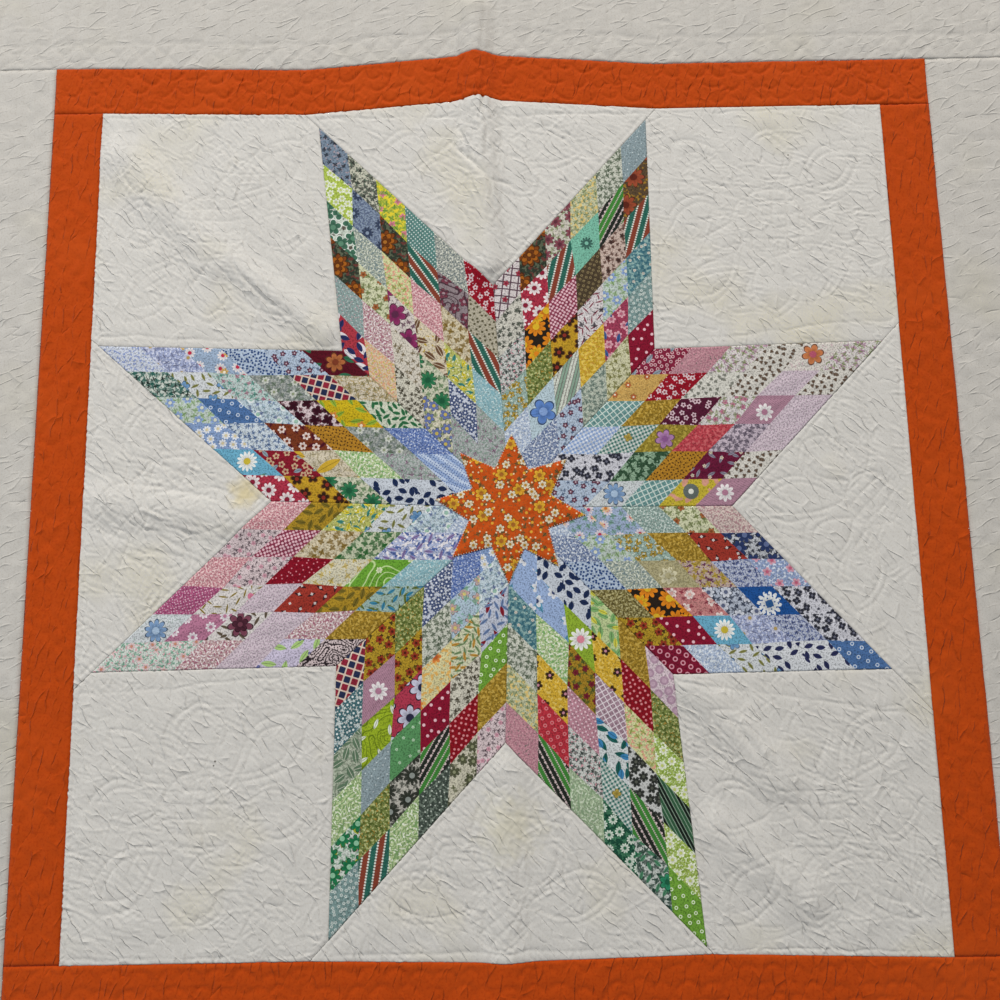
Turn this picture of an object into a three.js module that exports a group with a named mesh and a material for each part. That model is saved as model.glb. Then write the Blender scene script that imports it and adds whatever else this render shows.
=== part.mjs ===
import * as THREE from 'three';

// A pieced Lone Star quilt, spread open and lying face up on a flat surface. Millimetres, +Z up,
// +X to the right and +Y to the top of the face, with the origin under the middle of the quilt.
// Every panel is a quilted sheet: thin where it is sewn and puffed up between the stitch lines.

// The star: eight points, each pieced from small diamonds.
const PATCH_SIDE = 60;
const PATCHES_PER_SIDE = 6;
const POINT_SIDE = PATCH_SIDE * PATCHES_PER_SIDE;
const TIP_REACH = 2 * POINT_SIDE * Math.cos(Math.PI / 8);
const STAR_CENTRE = [18, -5];

// The pale ground around the star, half as wide and half as high, and the frames around that.
const BLOCK_HALF_WIDTH = 636;
const BLOCK_HALF_HEIGHT = 650;
const STRIP_WIDTH = 80;
const BORDER_WIDTH = 176;

// The thickness where it is sewn, the extra height of a puff, and the gap between two pieces.
const SEWN = 4;
const PUFF = 4;
const GAP = 0.3;

// The sewn-on star in the middle lies with its tips on the seams between the eight points.
const CENTRE_STAR_TIP = 116;
const CENTRE_STAR_NOTCH = 68;
const CENTRE_STAR_THICK = 1.5;
const CENTRE_STAR_PUFF = 1.5;
const CENTRE_STAR_TURN = -0.06;
const CLEAR_PATCHES = 3;

// How far each corner of the star lies off the true figure in the spread cloth. The inner corners start
// at the right and go round by eighths of a turn; the tips start half an eighth later.
const INNER_CORNERS = [
  { at: 'right', off: [-3, -8] },
  { at: 'top_right', off: [-5, -12] },
  { at: 'top', off: [-2, -9] },
  { at: 'top_left', off: [14, -6] },
  { at: 'left', off: [13, 12] },
  { at: 'low_left', off: [9, 17] },
  { at: 'bottom', off: [4, 7] },
  { at: 'low_right', off: [0, -4] },
];
const TIPS = [
  { at: 'right_up', off: [-7, -5] },
  { at: 'top_right', off: [-3, 16] },
  { at: 'top_left', off: [-27, 12] },
  { at: 'left_up', off: [-9, 9] },
  { at: 'left_low', off: [5, 14] },
  { at: 'low_left', off: [1, -8] },
  { at: 'low_right', off: [31, -26] },
  { at: 'right_low', off: [-34, -2] },
];

// The sides of the ground, going round from the right, with the middle of each side shifted as it lies.
const SIDES = [
  { at: 'right', middle: [0, 0] },
  { at: 'top', middle: [-22, 22] },
  { at: 'left', middle: [0, 0] },
  { at: 'bottom', middle: [-9, -6] },
];

// Soft folds that lift the cloth off the surface: where each runs, how high it stands, and how far it
// reaches to either side.
const FOLDS = [
  { from: [-18, 830], to: [-4, 385], height: 13, reach: 52 },
  { from: [4, -395], to: [0, -760], height: 7, reach: 48 },
  { from: [-600, 580], to: [-440, 405], height: 8, reach: 55 },
  { from: [-425, 405], to: [-270, 280], height: 7, reach: 50 },
  { from: [-600, 15], to: [-395, -15], height: 7, reach: 50 },
  { from: [280, -275], to: [405, -410], height: 7, reach: 50 },
  { from: [310, -480], to: [430, -575], height: 6, reach: 50 },
];

const CLOTH = {
  cream: { color: 0xcfc6b6, roughness: 0.95, metalness: 0 },
  orange: { color: 0xbb3f10, roughness: 0.9, metalness: 0 },
  green_prints: { color: 0x6f8a6a, roughness: 0.9, metalness: 0 },
  blue_prints: { color: 0x7d92b4, roughness: 0.9, metalness: 0 },
  pink_prints: { color: 0xc497a4, roughness: 0.9, metalness: 0 },
};
const POINT_CLOTH = {
  right_up: 'pink_prints',
  top_right: 'green_prints',
  top_left: 'green_prints',
  left_up: 'blue_prints',
  left_low: 'pink_prints',
  low_left: 'green_prints',
  low_right: 'green_prints',
  right_low: 'blue_prints',
};

// How many coarse steps each stretch of a panel is laid out in.
const SQUARE_STEPS = 8;
const TRIANGLE_STEPS = 8;
const STRIP_STEPS = { end: 1, corner: 7, half_side: 3, across: 2 };
const BORDER_STEPS = { end: 4, across: 3 };

const mix = (a, b, t) => a.map((value, axis) => value + (b[axis] - value) * t);
const plus = (a, b) => a.map((value, axis) => value + b[axis]);

function polar(radius, eighths) {
  const angle = eighths * Math.PI / 4;
  return [radius * Math.cos(angle), radius * Math.sin(angle)];
}

// The height of the folds at one place on the face.
function lift(x, y) {
  let height = 0;
  for (const fold of FOLDS) {
    const run = [fold.to[0] - fold.from[0], fold.to[1] - fold.from[1]];
    const length = Math.hypot(...run);
    const along = ((x - fold.from[0]) * run[0] + (y - fold.from[1]) * run[1]) / length;
    const aside = ((y - fold.from[1]) * run[0] - (x - fold.from[0]) * run[1]) / length;
    const past = Math.max(-along, along - length, 0);
    const away = Math.hypot(past, aside) / fold.reach;
    if (away < 1) height = Math.max(height, fold.height * (1 + Math.cos(Math.PI * away)) / 2);
  }
  return height;
}

// A net of quads from rows of places, each row the same length. u counts along a row and v across the rows.
function netOfRows(rows) {
  const corners = [];
  const triangles = [];
  const perRow = rows[0].length;
  rows.forEach((row, v) => row.forEach((place, u) => corners.push({ place, u, v })));
  for (let v = 0; v + 1 < rows.length; v += 1) {
    for (let u = 0; u + 1 < perRow; u += 1) {
      const first = v * perRow + u;
      triangles.push([first, first + 1, first + perRow + 1]);
      triangles.push([first, first + perRow + 1, first + perRow]);
    }
  }
  return { corners, triangles };
}

// A net over a triangle: its rows grow by one place each from the apex to the far side.
function netOfTriangle(apex, start, end, steps) {
  const corners = [];
  const triangles = [];
  const first = (row) => row * (row + 1) / 2;
  for (let row = 0; row <= steps; row += 1) {
    for (let step = 0; step <= row; step += 1) {
      const far = farSidePlace(start, end, row ? step / row : 0);
      corners.push({ place: mix(apex, far, row / steps), u: step, v: row });
    }
  }
  for (let row = 0; row < steps; row += 1) {
    for (let step = 0; step <= row; step += 1) {
      const here = first(row) + step;
      const below = first(row + 1) + step;
      triangles.push([here, below, below + 1]);
      if (step < row) triangles.push([here, below + 1, here + 1]);
    }
  }
  return { corners, triangles };
}

// The far side of a triangle bends at its middle, as the strip it is sewn to does.
function farSidePlace(start, end, share) {
  if (share <= 0.5) return mix(start, end.middle, share * 2);
  return mix(end.middle, end.place, share * 2 - 1);
}

// The closed solid of one quilted panel. Its underside is the coarse net on the folds. Its face has each
// triangle of the net in four, so that the middle of every edge can stand up as a puff.
function quiltedPanel(name, net, cloth, puff) {
  const { corners } = net;
  const cross = (a, b, c) => (b[0] - a[0]) * (c[1] - a[1]) - (b[1] - a[1]) * (c[0] - a[0]);
  const triangles = net.triangles.map(([a, b, c]) => (
    cross(corners[a].place, corners[b].place, corners[c].place) > 0 ? [a, b, c] : [a, c, b]
  ));

  const sides = triangles.flatMap(([a, b, c]) => [[a, b], [b, c], [c, a]]);
  const known = new Set(sides.map(([a, b]) => `${a} ${b}`));
  const rim = sides.filter(([a, b]) => !known.has(`${b} ${a}`));
  const drawnIn = insetRim(corners, rim, GAP / 2);

  const positions = [];
  const addPoint = (place, z) => positions.push(place[0], place[1], z) / 3 - 1;
  const raised = (u, v, place) => SEWN + PUFF * puff(u, v, place);
  const height = corners.map(({ place }) => lift(...place));
  const under = corners.map((corner, i) => addPoint(drawnIn[i], height[i]));
  const over = corners.map(({ u, v, place }, i) => addPoint(drawnIn[i], height[i] + raised(u, v, place)));
  const between = new Map();
  const middle = (a, b) => {
    const key = `${Math.min(a, b)} ${Math.max(a, b)}`;
    if (!between.has(key)) {
      const place = mix(drawnIn[a], drawnIn[b], 0.5);
      const u = (corners[a].u + corners[b].u) / 2;
      const v = (corners[a].v + corners[b].v) / 2;
      between.set(key, addPoint(place, (height[a] + height[b]) / 2 + raised(u, v, place)));
    }
    return between.get(key);
  };

  const index = [];
  for (const [a, b, c] of triangles) {
    const [ab, bc, ca] = [middle(a, b), middle(b, c), middle(c, a)];
    index.push(over[a], ab, ca, ab, over[b], bc, ca, bc, over[c], ab, bc, ca);
    index.push(under[a], under[c], under[b]);
  }
  for (const [a, b] of rim) {
    const ab = middle(a, b);
    index.push(under[a], under[b], ab, under[a], ab, over[a], under[b], over[b], ab);
  }
  return namedMesh(name, positions, index, cloth);
}

// Draws the rim of a net inwards, so that a panel keeps clear of its neighbours.
function insetRim(corners, rim, depth) {
  const normals = corners.map(() => []);
  for (const [a, b] of rim) {
    const run = [corners[b].place[0] - corners[a].place[0], corners[b].place[1] - corners[a].place[1]];
    const length = Math.hypot(...run);
    const inward = [-run[1] / length, run[0] / length];
    normals[a].push(inward);
    normals[b].push(inward);
  }
  return corners.map(({ place }, i) => {
    if (!normals[i].length) return place;
    const [one, two] = normals[i];
    const spread = 1 + one[0] * two[0] + one[1] * two[1];
    return plus(place, [(one[0] + two[0]) * depth / spread, (one[1] + two[1]) * depth / spread]);
  });
}

function namedMesh(name, positions, index, cloth) {
  const geometry = new THREE.BufferGeometry();
  geometry.setAttribute('position', new THREE.Float32BufferAttribute(positions, 3));
  geometry.setIndex(index);
  geometry.computeVertexNormals();
  const mesh = new THREE.Mesh(geometry, new THREE.MeshStandardMaterial(CLOTH[cloth]));
  mesh.name = name;
  return mesh;
}

// Where the seams meet: the star's corners, the corners of the ground, the ends of the short seams that
// carry each triangle's sides past the star's tip to the strip, and the middles of the four sides.
const innerCorners = INNER_CORNERS.map(({ off }, eighths) => plus(polar(POINT_SIDE, eighths), off));
const tips = TIPS.map(({ off }, eighths) => plus(polar(TIP_REACH, eighths + 0.5), off));
const groundCorners = [[1, 1], [-1, 1], [-1, -1], [1, -1]].map(([x, y]) => (
  [x * BLOCK_HALF_WIDTH, y * BLOCK_HALF_HEIGHT]
));
const sides = SIDES.map(({ at, middle }, quarter) => {
  const vertical = quarter % 2;
  const outward = quarter < 2 ? 1 : -1;
  const reach = outward * (vertical ? BLOCK_HALF_HEIGHT : BLOCK_HALF_WIDTH);
  const apex = innerCorners[quarter * 2];
  const seamEnd = (tip) => mix(apex, tip, (reach - apex[vertical]) / (tip[vertical] - apex[vertical]));
  const straight = vertical ? [0, reach] : [reach, 0];
  return {
    at,
    apex,
    vertical,
    outward,
    middle: plus(straight, middle),
    seamEnds: [seamEnd(tips[(quarter * 2 + 7) % 8]), seamEnd(tips[quarter * 2])],
    corners: [groundCorners[(quarter + 3) % 4], groundCorners[quarter]],
  };
});

const quilt = new THREE.Group();

// The star's points, each pieced from six by six diamonds that puff up between their seams.
TIPS.forEach(({ at }, eighths) => {
  const near = innerCorners[eighths];
  const far = innerCorners[(eighths + 1) % 8];
  const rows = Array.from({ length: PATCHES_PER_SIDE + 1 }, (_, row) => {
    const v = row / PATCHES_PER_SIDE;
    const start = mix(STAR_CENTRE, far, v);
    const end = mix(near, tips[eighths], v);
    return Array.from({ length: PATCHES_PER_SIDE + 1 }, (__, step) => mix(start, end, step / PATCHES_PER_SIDE));
  });
  const puff = (u, v) => {
    if (u < CLEAR_PATCHES && v < CLEAR_PATCHES) return 0;
    return Math.sin(Math.PI * (u % 1)) * Math.sin(Math.PI * (v % 1));
  };
  quilt.add(quiltedPanel(`star_point_${at}`, netOfRows(rows), POINT_CLOTH[at], puff));
});

// The squares in the corners of the ground, quilted with a flower of eight petals.
groundCorners.forEach((corner, quarter) => {
  const inner = innerCorners[quarter * 2 + 1];
  const rightSide = sides[quarter];
  const upSide = sides[(quarter + 1) % 4];
  const rightEdge = edgePastTip(inner, tips[quarter * 2], rightSide.seamEnds[1], SQUARE_STEPS);
  const upEdge = edgePastTip(inner, tips[quarter * 2 + 1], upSide.seamEnds[0], SQUARE_STEPS);
  const rows = upEdge.map((start, row) => rightEdge.map((_, step) => {
    const [u, v] = [step / SQUARE_STEPS, row / SQUARE_STEPS];
    const ruled = mix(rightEdge[step], mix(upSide.seamEnds[0], corner, u), v);
    const crossed = mix(start, mix(rightSide.seamEnds[1], corner, v), u);
    const flat = mix(mix(inner, rightSide.seamEnds[1], u), mix(upSide.seamEnds[0], corner, u), v);
    return plus(plus(ruled, crossed), [-flat[0], -flat[1]]);
  }));
  const puff = (u, v) => {
    const [x, y] = [2 * u / SQUARE_STEPS - 1, 2 * v / SQUARE_STEPS - 1];
    const fromCentre = Math.hypot(x, y);
    const petals = 0.5 + 0.5 * Math.cos(8 * Math.atan2(y, x)) * Math.min(1, fromCentre * 1.5);
    const fromEdge = Math.min(1 - Math.abs(x), 1 - Math.abs(y));
    return Math.min(1, fromEdge * 4) * (0.3 + 0.7 * petals);
  };
  const names = ['top_right', 'top_left', 'low_left', 'low_right'];
  quilt.add(quiltedPanel(`corner_square_${names[quarter]}`, netOfRows(rows), 'cream', puff));
});

// One side of a square: along the star's point to its tip, then along the short seam to the strip.
function edgePastTip(inner, tip, seamEnd, steps) {
  return Array.from({ length: steps + 1 }, (_, step) => (
    step < steps ? mix(inner, tip, step / (steps - 1)) : seamEnd
  ));
}

// The triangles between the points, quilted with arcs about the middle of the outer side.
for (const side of sides) {
  const [start, end] = side.seamEnds;
  const net = netOfTriangle(side.apex, start, { place: end, middle: side.middle }, TRIANGLE_STEPS);
  const puff = (u, v, place) => {
    const fromEdge = Math.min(u, v - u, TRIANGLE_STEPS - v);
    const arcs = Math.hypot(place[0] - side.middle[0], place[1] - side.middle[1]) / (2 * PATCH_SIDE);
    return Math.min(1, fromEdge) * (0.65 + 0.35 * Math.cos(2 * Math.PI * arcs));
  };
  quilt.add(quiltedPanel(`side_triangle_${side.at}`, net, 'cream', puff));
}

// A frame piece between an inner line and an outer line that bend at the same places.
function framePiece(name, innerLine, outerLine, steps, across, cloth, puff) {
  const rows = Array.from({ length: across + 1 }, (_, row) => {
    const bends = innerLine.map((place, i) => mix(place, outerLine[i], row / across));
    const places = [bends[0]];
    steps.forEach((count, stretch) => {
      for (let step = 1; step <= count; step += 1) {
        places.push(mix(bends[stretch], bends[stretch + 1], step / count));
      }
    });
    return places;
  });
  quilt.add(quiltedPanel(name, netOfRows(rows), cloth, puff));
}

const pushedOut = (side, places, width) => places.map((place) => (
  side.vertical ? [place[0], place[1] + side.outward * width] : [place[0] + side.outward * width, place[1]]
));
const levelWith = (side, place, reach) => (
  side.vertical ? [place[0], side.outward * reach] : [side.outward * reach, place[1]]
);
const endsOutAt = (side, places, width) => {
  const [first, last] = [places[0], places[places.length - 1]];
  const away = side.vertical ? [width, 0] : [0, width];
  const sign = Math.sign(first[1 - side.vertical]);
  return [plus(first, away.map((x) => x * sign)), ...places, plus(last, away.map((x) => -x * sign))];
};

// The orange strips and the cream border outside them. The top and bottom pieces run over the ends of the
// side pieces, as butted borders do.
for (const side of sides) {
  const inner = [side.corners[0], side.seamEnds[0], side.middle, side.seamEnds[1], side.corners[1]];
  const { end, corner, half_side: half, across } = STRIP_STEPS;
  const plain = [corner, half, half, corner];
  const stripLine = side.vertical ? endsOutAt(side, inner, STRIP_WIDTH) : inner;
  const stripSteps = side.vertical ? [end, ...plain, end] : plain;
  const scallops = (u, v) => Math.sin(Math.PI * v / across) * (0.7 + 0.3 * Math.cos(2 * Math.PI * u));
  framePiece(
    `orange_strip_${side.at}`, stripLine, pushedOut(side, stripLine, STRIP_WIDTH),
    stripSteps, across, 'orange', scallops,
  );

  const overStrip = pushedOut(side, endsOutAt(side, inner, STRIP_WIDTH), STRIP_WIDTH);
  const borderLine = side.vertical ? endsOutAt(side, overStrip, BORDER_WIDTH) : overStrip;
  const borderSteps = [end, ...plain, end];
  if (side.vertical) {
    borderSteps.unshift(BORDER_STEPS.end);
    borderSteps.push(BORDER_STEPS.end);
  }
  const halfSize = (side.vertical ? BLOCK_HALF_HEIGHT : BLOCK_HALF_WIDTH) + STRIP_WIDTH + BORDER_WIDTH;
  const hem = borderLine.map((place) => levelWith(side, place, halfSize));
  const bars = (u, v) => Math.sin(Math.PI * (u % 1)) * Math.min(1, 2 * v, 2 * (BORDER_STEPS.across - v));
  framePiece(`border_${side.at}`, borderLine, hem, borderSteps, BORDER_STEPS.across, 'cream', bars);
}

// The sewn-on star over the middle, one piece of cloth a little puffed.
const starPositions = [];
const starIndex = [];
const starRim = Array.from({ length: 16 }, (_, step) => {
  const radius = step % 2 ? CENTRE_STAR_NOTCH : CENTRE_STAR_TIP;
  return plus(STAR_CENTRE, polar(radius, step / 2 + CENTRE_STAR_TURN));
});
const starUnder = SEWN + GAP;
const starOver = starUnder + CENTRE_STAR_THICK;
starRim.forEach((place) => starPositions.push(...place, starUnder, ...place, starOver));
starPositions.push(...STAR_CENTRE, starUnder, ...STAR_CENTRE, starOver + CENTRE_STAR_PUFF);
const [underMiddle, overMiddle] = [2 * starRim.length, 2 * starRim.length + 1];
starRim.forEach((_, step) => {
  const here = 2 * step;
  const next = 2 * ((step + 1) % starRim.length);
  starIndex.push(underMiddle, next, here, overMiddle, here + 1, next + 1);
  starIndex.push(here, next, next + 1, here, next + 1, here + 1);
});
quilt.add(namedMesh('centre_star', starPositions, starIndex, 'orange'));

export default quilt;
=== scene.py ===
import math
from functools import partial

import bpy
import numpy as np
from mathutils import Matrix


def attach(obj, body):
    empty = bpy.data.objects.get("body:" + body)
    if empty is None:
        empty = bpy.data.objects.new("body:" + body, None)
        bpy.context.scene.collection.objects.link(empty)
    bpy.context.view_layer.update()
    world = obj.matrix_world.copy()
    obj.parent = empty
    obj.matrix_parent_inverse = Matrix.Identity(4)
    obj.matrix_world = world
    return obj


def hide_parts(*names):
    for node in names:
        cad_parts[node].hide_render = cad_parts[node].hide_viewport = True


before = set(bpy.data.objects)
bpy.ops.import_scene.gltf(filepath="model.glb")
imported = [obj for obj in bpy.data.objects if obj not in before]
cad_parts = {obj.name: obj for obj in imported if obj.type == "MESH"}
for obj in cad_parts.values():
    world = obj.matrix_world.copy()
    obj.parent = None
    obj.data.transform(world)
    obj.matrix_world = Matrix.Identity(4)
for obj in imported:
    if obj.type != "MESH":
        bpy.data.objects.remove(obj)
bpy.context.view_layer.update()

# The star's eight points. Each is pieced from six by six small diamonds of printed cotton scraps, sewn by
# hand into rows and the rows into a point, then quilted with a line just inside the seams of each diamond.

MM = 0.001
PATCH_SIDE = 60 * MM
PATCHES = 6
POINT_SIDE = PATCH_SIDE * PATCHES
TIP_REACH = 2 * POINT_SIDE * math.cos(math.pi / 8)
STAR_CENTRE = np.array([18, -5]) * MM
BLOCK_HALF = np.array([636, 650]) * MM

# How each corner of the star lies off the true figure, in millimetres, from the right and round by eighths.
INNER_OFF = [(-3, -8), (-5, -12), (-2, -9), (14, -6), (13, 12), (9, 17), (4, 7), (0, -4)]
TIP_OFF = [(-7, -5), (-3, 16), (-27, 12), (-9, 9), (5, 14), (1, -8), (31, -26), (-34, -2)]
POINT_NAMES = [
    "right_up", "top_right", "top_left", "left_up", "left_low", "low_left", "low_right", "right_low",
]


def round_from_right(reach, eighths):
    angle = eighths * math.pi / 4
    return reach * np.array([math.cos(angle), math.sin(angle)])


inner_corners = [round_from_right(POINT_SIDE, k) + np.array(off) * MM for k, off in enumerate(INNER_OFF)]
tips = [round_from_right(TIP_REACH, k + 0.5) + np.array(off) * MM for k, off in enumerate(TIP_OFF)]

# The soft folds that lift the spread cloth: from, to, height and reach to either side, in millimetres.
FOLDS = [
    ((-27, 830), (-12, 385), 13, 42),
    ((4, -395), (0, -760), 7, 48),
    ((-600, 580), (-440, 405), 8, 55),
    ((-425, 405), (-270, 280), 8, 38),
    ((-600, 15), (-395, -15), 7, 50),
    ((280, -275), (405, -410), 7, 50),
    ((310, -480), (430, -575), 6, 50),
]

# The soft troughs pressed into it: from, to, depth and half width, in millimetres. A depth below nothing is a
# ridge.
TROUGHS = [
    ((327, -314), (400, -412), 3.4, 8),
    ((331, -503), (372, -542), 2.6, 7),
    ((405, -437), (455, -485), 2.2, 6),
    ((-418, 395), (-320, 304), 4.0, 5),
    ((-552, 526), (-512, 474), 2.2, 5),
    ((-74, 705), (-70, 640), 3.4, 3),
    ((-58, 716), (-50, 630), 5.0, 3),
    ((-26, 720), (-22, 626), 5.0, 3),
    ((-14, 716), (-10, 620), 5.5, 3),
    ((-54, 800), (-52, 722), 4.0, 4),
    ((-12, 810), (-16, 722), 4.0, 4),
    ((-72, 602), (-4, 524), 5.5, 4),
    ((-6, 526), (34, 521), 3.4, 4),
    ((-56, 628), (-40, 560), 4.0, 4),
    ((-6, 626), (-4, 566), 3.6, 4),
    ((-28, 632), (-30, 570), 3.0, 3),
    ((20, 500), (70, 420), 2.2, 5),
    ((-20, 505), (16, 405), -2.2, 4),
    ((30, 590), (112, 500), -1.8, 4),
    ((-582, 94), (-454, 45), 2.6, 4),
    ((-578, 45), (-441, 19), 2.6, 4),
    ((-560, 8), (-432, -44), -2.4, 4),
    ((-534, -26), (-454, -70), 2.6, 4),
    ((-582, -57), (-530, -88), 2.4, 4),
    ((-498, 92), (-441, 45), -2.2, 3),
    ((-560, -60), (-430, -90), 2.4, 6),
    ((-20, -560), (-30, -660), 2.4, 6),
]


def fold_lift(place):
    """How high the folds carry the cloth at each place."""
    height = np.zeros(place.shape[:-1])
    for start, end, high, reach in FOLDS:
        start, end = np.array(start) * MM, np.array(end) * MM
        run = (end - start) / np.linalg.norm(end - start)
        along = (place - start) @ run
        aside = (place - start) @ np.array([-run[1], run[0]])
        past = np.maximum(np.maximum(-along, along - np.linalg.norm(end - start)), 0)
        away = np.minimum(np.hypot(past, aside) / (reach * MM), 1)
        height = np.maximum(height, high * MM * (1 + np.cos(np.pi * away)) / 2)
    return height


def walked(line, pace):
    """Points at an even pace along a line, with the line's direction at each."""
    line = np.asarray(line, float)
    steps = np.linalg.norm(np.diff(line, axis=0), axis=1)
    reached = np.concatenate([[0], np.cumsum(steps)])
    marks = np.linspace(0, reached[-1], max(2, int(round(reached[-1] / pace)) + 1))
    points = np.stack([np.interp(marks, reached, line[:, axis]) for axis in (0, 1)], axis=1)
    runs = np.gradient(points, axis=0)
    return points, runs / np.maximum(np.linalg.norm(runs, axis=1, keepdims=True), 1e-9)


def patchy(random, count, size):
    """A row of numbers that rises and falls slowly, as the pull of a hand along a line does."""
    knots = random.normal(0, 1, int(count / size) + 3)
    return np.interp(np.arange(count) / size, np.arange(len(knots)), knots)


def waves(random, place, shortest, longest, count=18):
    """A gentle unevenness over the cloth."""
    total = np.zeros(place.shape[:-1])
    for _ in range(count):
        angle = random.uniform(0, 2 * math.pi)
        turns = 2 * math.pi / random.uniform(shortest, longest)
        run = turns * np.array([math.cos(angle), math.sin(angle)])
        total += np.cos(place @ run + random.uniform(0, 2 * math.pi)) / count ** 0.5
    return total


HAND_PACE = 4 * MM
HAND_WAVES = (45 * MM, 140 * MM)


def hand_drawn(line, sway=2.2 * MM):
    """A quilting line as a hand draws it, wandering a little off the true one."""
    points, _ = walked(line, HAND_PACE)
    random = np.random.default_rng(11)
    wander = np.stack([waves(random, points, *HAND_WAVES) for _ in range(2)], axis=1)
    return points + sway * wander


# The ground that a panel's relief is worked out on has square cells. A line is felt this many cells away.
CELL = 1.5 * MM
LINE_REACH = 14
GROUND_MARGIN = 6 * MM
SEWN_HIGH = 3.0 * MM
LEAST_HIGH = 1.4 * MM
FOLD_SLACK = 5 * MM


def wrinkle(ground, start, angle, length, wide, high, bend):
    """One crease that fades at its ends: a sharp ridge, or a trough if its height is below nothing."""
    run = np.array([math.cos(angle), math.sin(angle)])
    middle = start + run * length / 2
    half = np.abs(run) * length / 2 + 4 * wide + abs(bend) * length
    rows, columns = ground["crease"].shape
    first = np.maximum(((middle - half - ground["low"]) / CELL).astype(int), 0)
    last = np.minimum(((middle + half - ground["low"]) / CELL).astype(int) + 2, (columns, rows))
    if np.any(last <= first):
        return
    x = ground["low"][0] + np.arange(first[0], last[0]) * CELL - start[0]
    y = ground["low"][1] + np.arange(first[1], last[1])[:, None] * CELL - start[1]
    along = (x * run[0] + y * run[1]) / length
    aside = y * run[0] - x * run[1] - 4 * bend * length * along * (along - 1)
    fade = np.clip(1 - np.abs(2 * along - 1) ** 3, 0, 1)
    aside = aside / (wide * (0.7 + 0.6 * np.clip(along, 0, 1)))
    shape = np.exp(-np.abs(aside) ** 1.4) - 0.45 * np.exp(-(aside / 2.4) ** 2)
    ground["crease"][first[1]:last[1], first[0]:last[0]] += high * fade * shape


def puckered(ground, random, line, apart, length, high):
    """The short creases that a drawn thread gathers on both sides of a line."""
    points, runs = walked(line, apart)
    tight = patchy(random, len(points), 5)
    for point, run, pull in zip(points, runs, tight):
        for side in (-1, 1):
            if random.uniform() > 0.7 + 0.35 * pull:
                continue
            start = point + run * random.normal(0, 0.3 * apart)
            angle = math.atan2(run[1], run[0]) + side * math.pi / 2 + random.normal(0, 0.4)
            reach = length * random.lognormal(0, 0.5)
            wide = random.uniform(1.2, 2.0) * MM
            tall = high * random.uniform(-0.5, 1.2)
            wrinkle(ground, start, angle, reach, wide, tall, random.normal(0, 0.08))


STRAYS_PER_AREA = 2200
STRAY_LENGTH = 44 * MM


def stray_creases(ground, random, size, stray, lean):
    """What washing has left: creases anywhere, in sets side by side, most of which lean one way."""
    for _ in range(int(stray * size[0] * size[1] * STRAYS_PER_AREA)):
        middle = ground["low"] + random.uniform(0, 1, 2) * size
        turn = random.uniform(0, math.pi)
        if random.uniform() < 0.75:
            turn = math.radians(lean) + random.normal(0, 0.24)
        cross = np.array([-math.sin(turn), math.cos(turn)])
        for step in range(random.integers(1, 8)):
            start = middle + cross * step * random.uniform(7, 14) * MM + random.normal(0, 8 * MM, 2)
            angle = turn + random.normal(0, 0.15)
            length = STRAY_LENGTH * random.lognormal(0, 0.5)
            high = random.choice([-1, 1, 1]) * random.uniform(0.5, 1.7) * MM
            wrinkle(ground, start, angle, length, random.uniform(1.2, 2.2) * MM, high, random.normal(0, 0.1))


def fold_creases(ground, random):
    """The creases along the sides of the folds, and the troughs."""
    for start, end, high, reach in FOLDS:
        start, end = np.array(start) * MM, np.array(end) * MM
        run = end - start
        angle = math.atan2(run[1], run[0])
        cross = np.array([-math.sin(angle), math.cos(angle)])
        for _ in range(int(7 * high)):
            offset = random.choice([-1, 1]) * random.normal(0.5, 0.2) * reach * MM
            spot = start + run * random.uniform(0, 0.9) + offset * cross
            turn = angle + random.normal(0, 0.2)
            length = random.uniform(20, 90) * MM
            deep = random.uniform(0.4, 1.3) * MM * high / 9
            wrinkle(ground, spot, turn, length, random.uniform(1.5, 3.2) * MM, -deep, random.normal(0, 0.08))
    for start, end, deep, wide in TROUGHS:
        start, run = np.array(start) * MM, (np.array(end) - np.array(start)) * MM
        length = float(np.linalg.norm(run))
        angle = math.atan2(run[1], run[0])
        wrinkle(ground, start, angle, length, wide * MM, -deep * MM, random.normal(0, 0.05))


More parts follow.
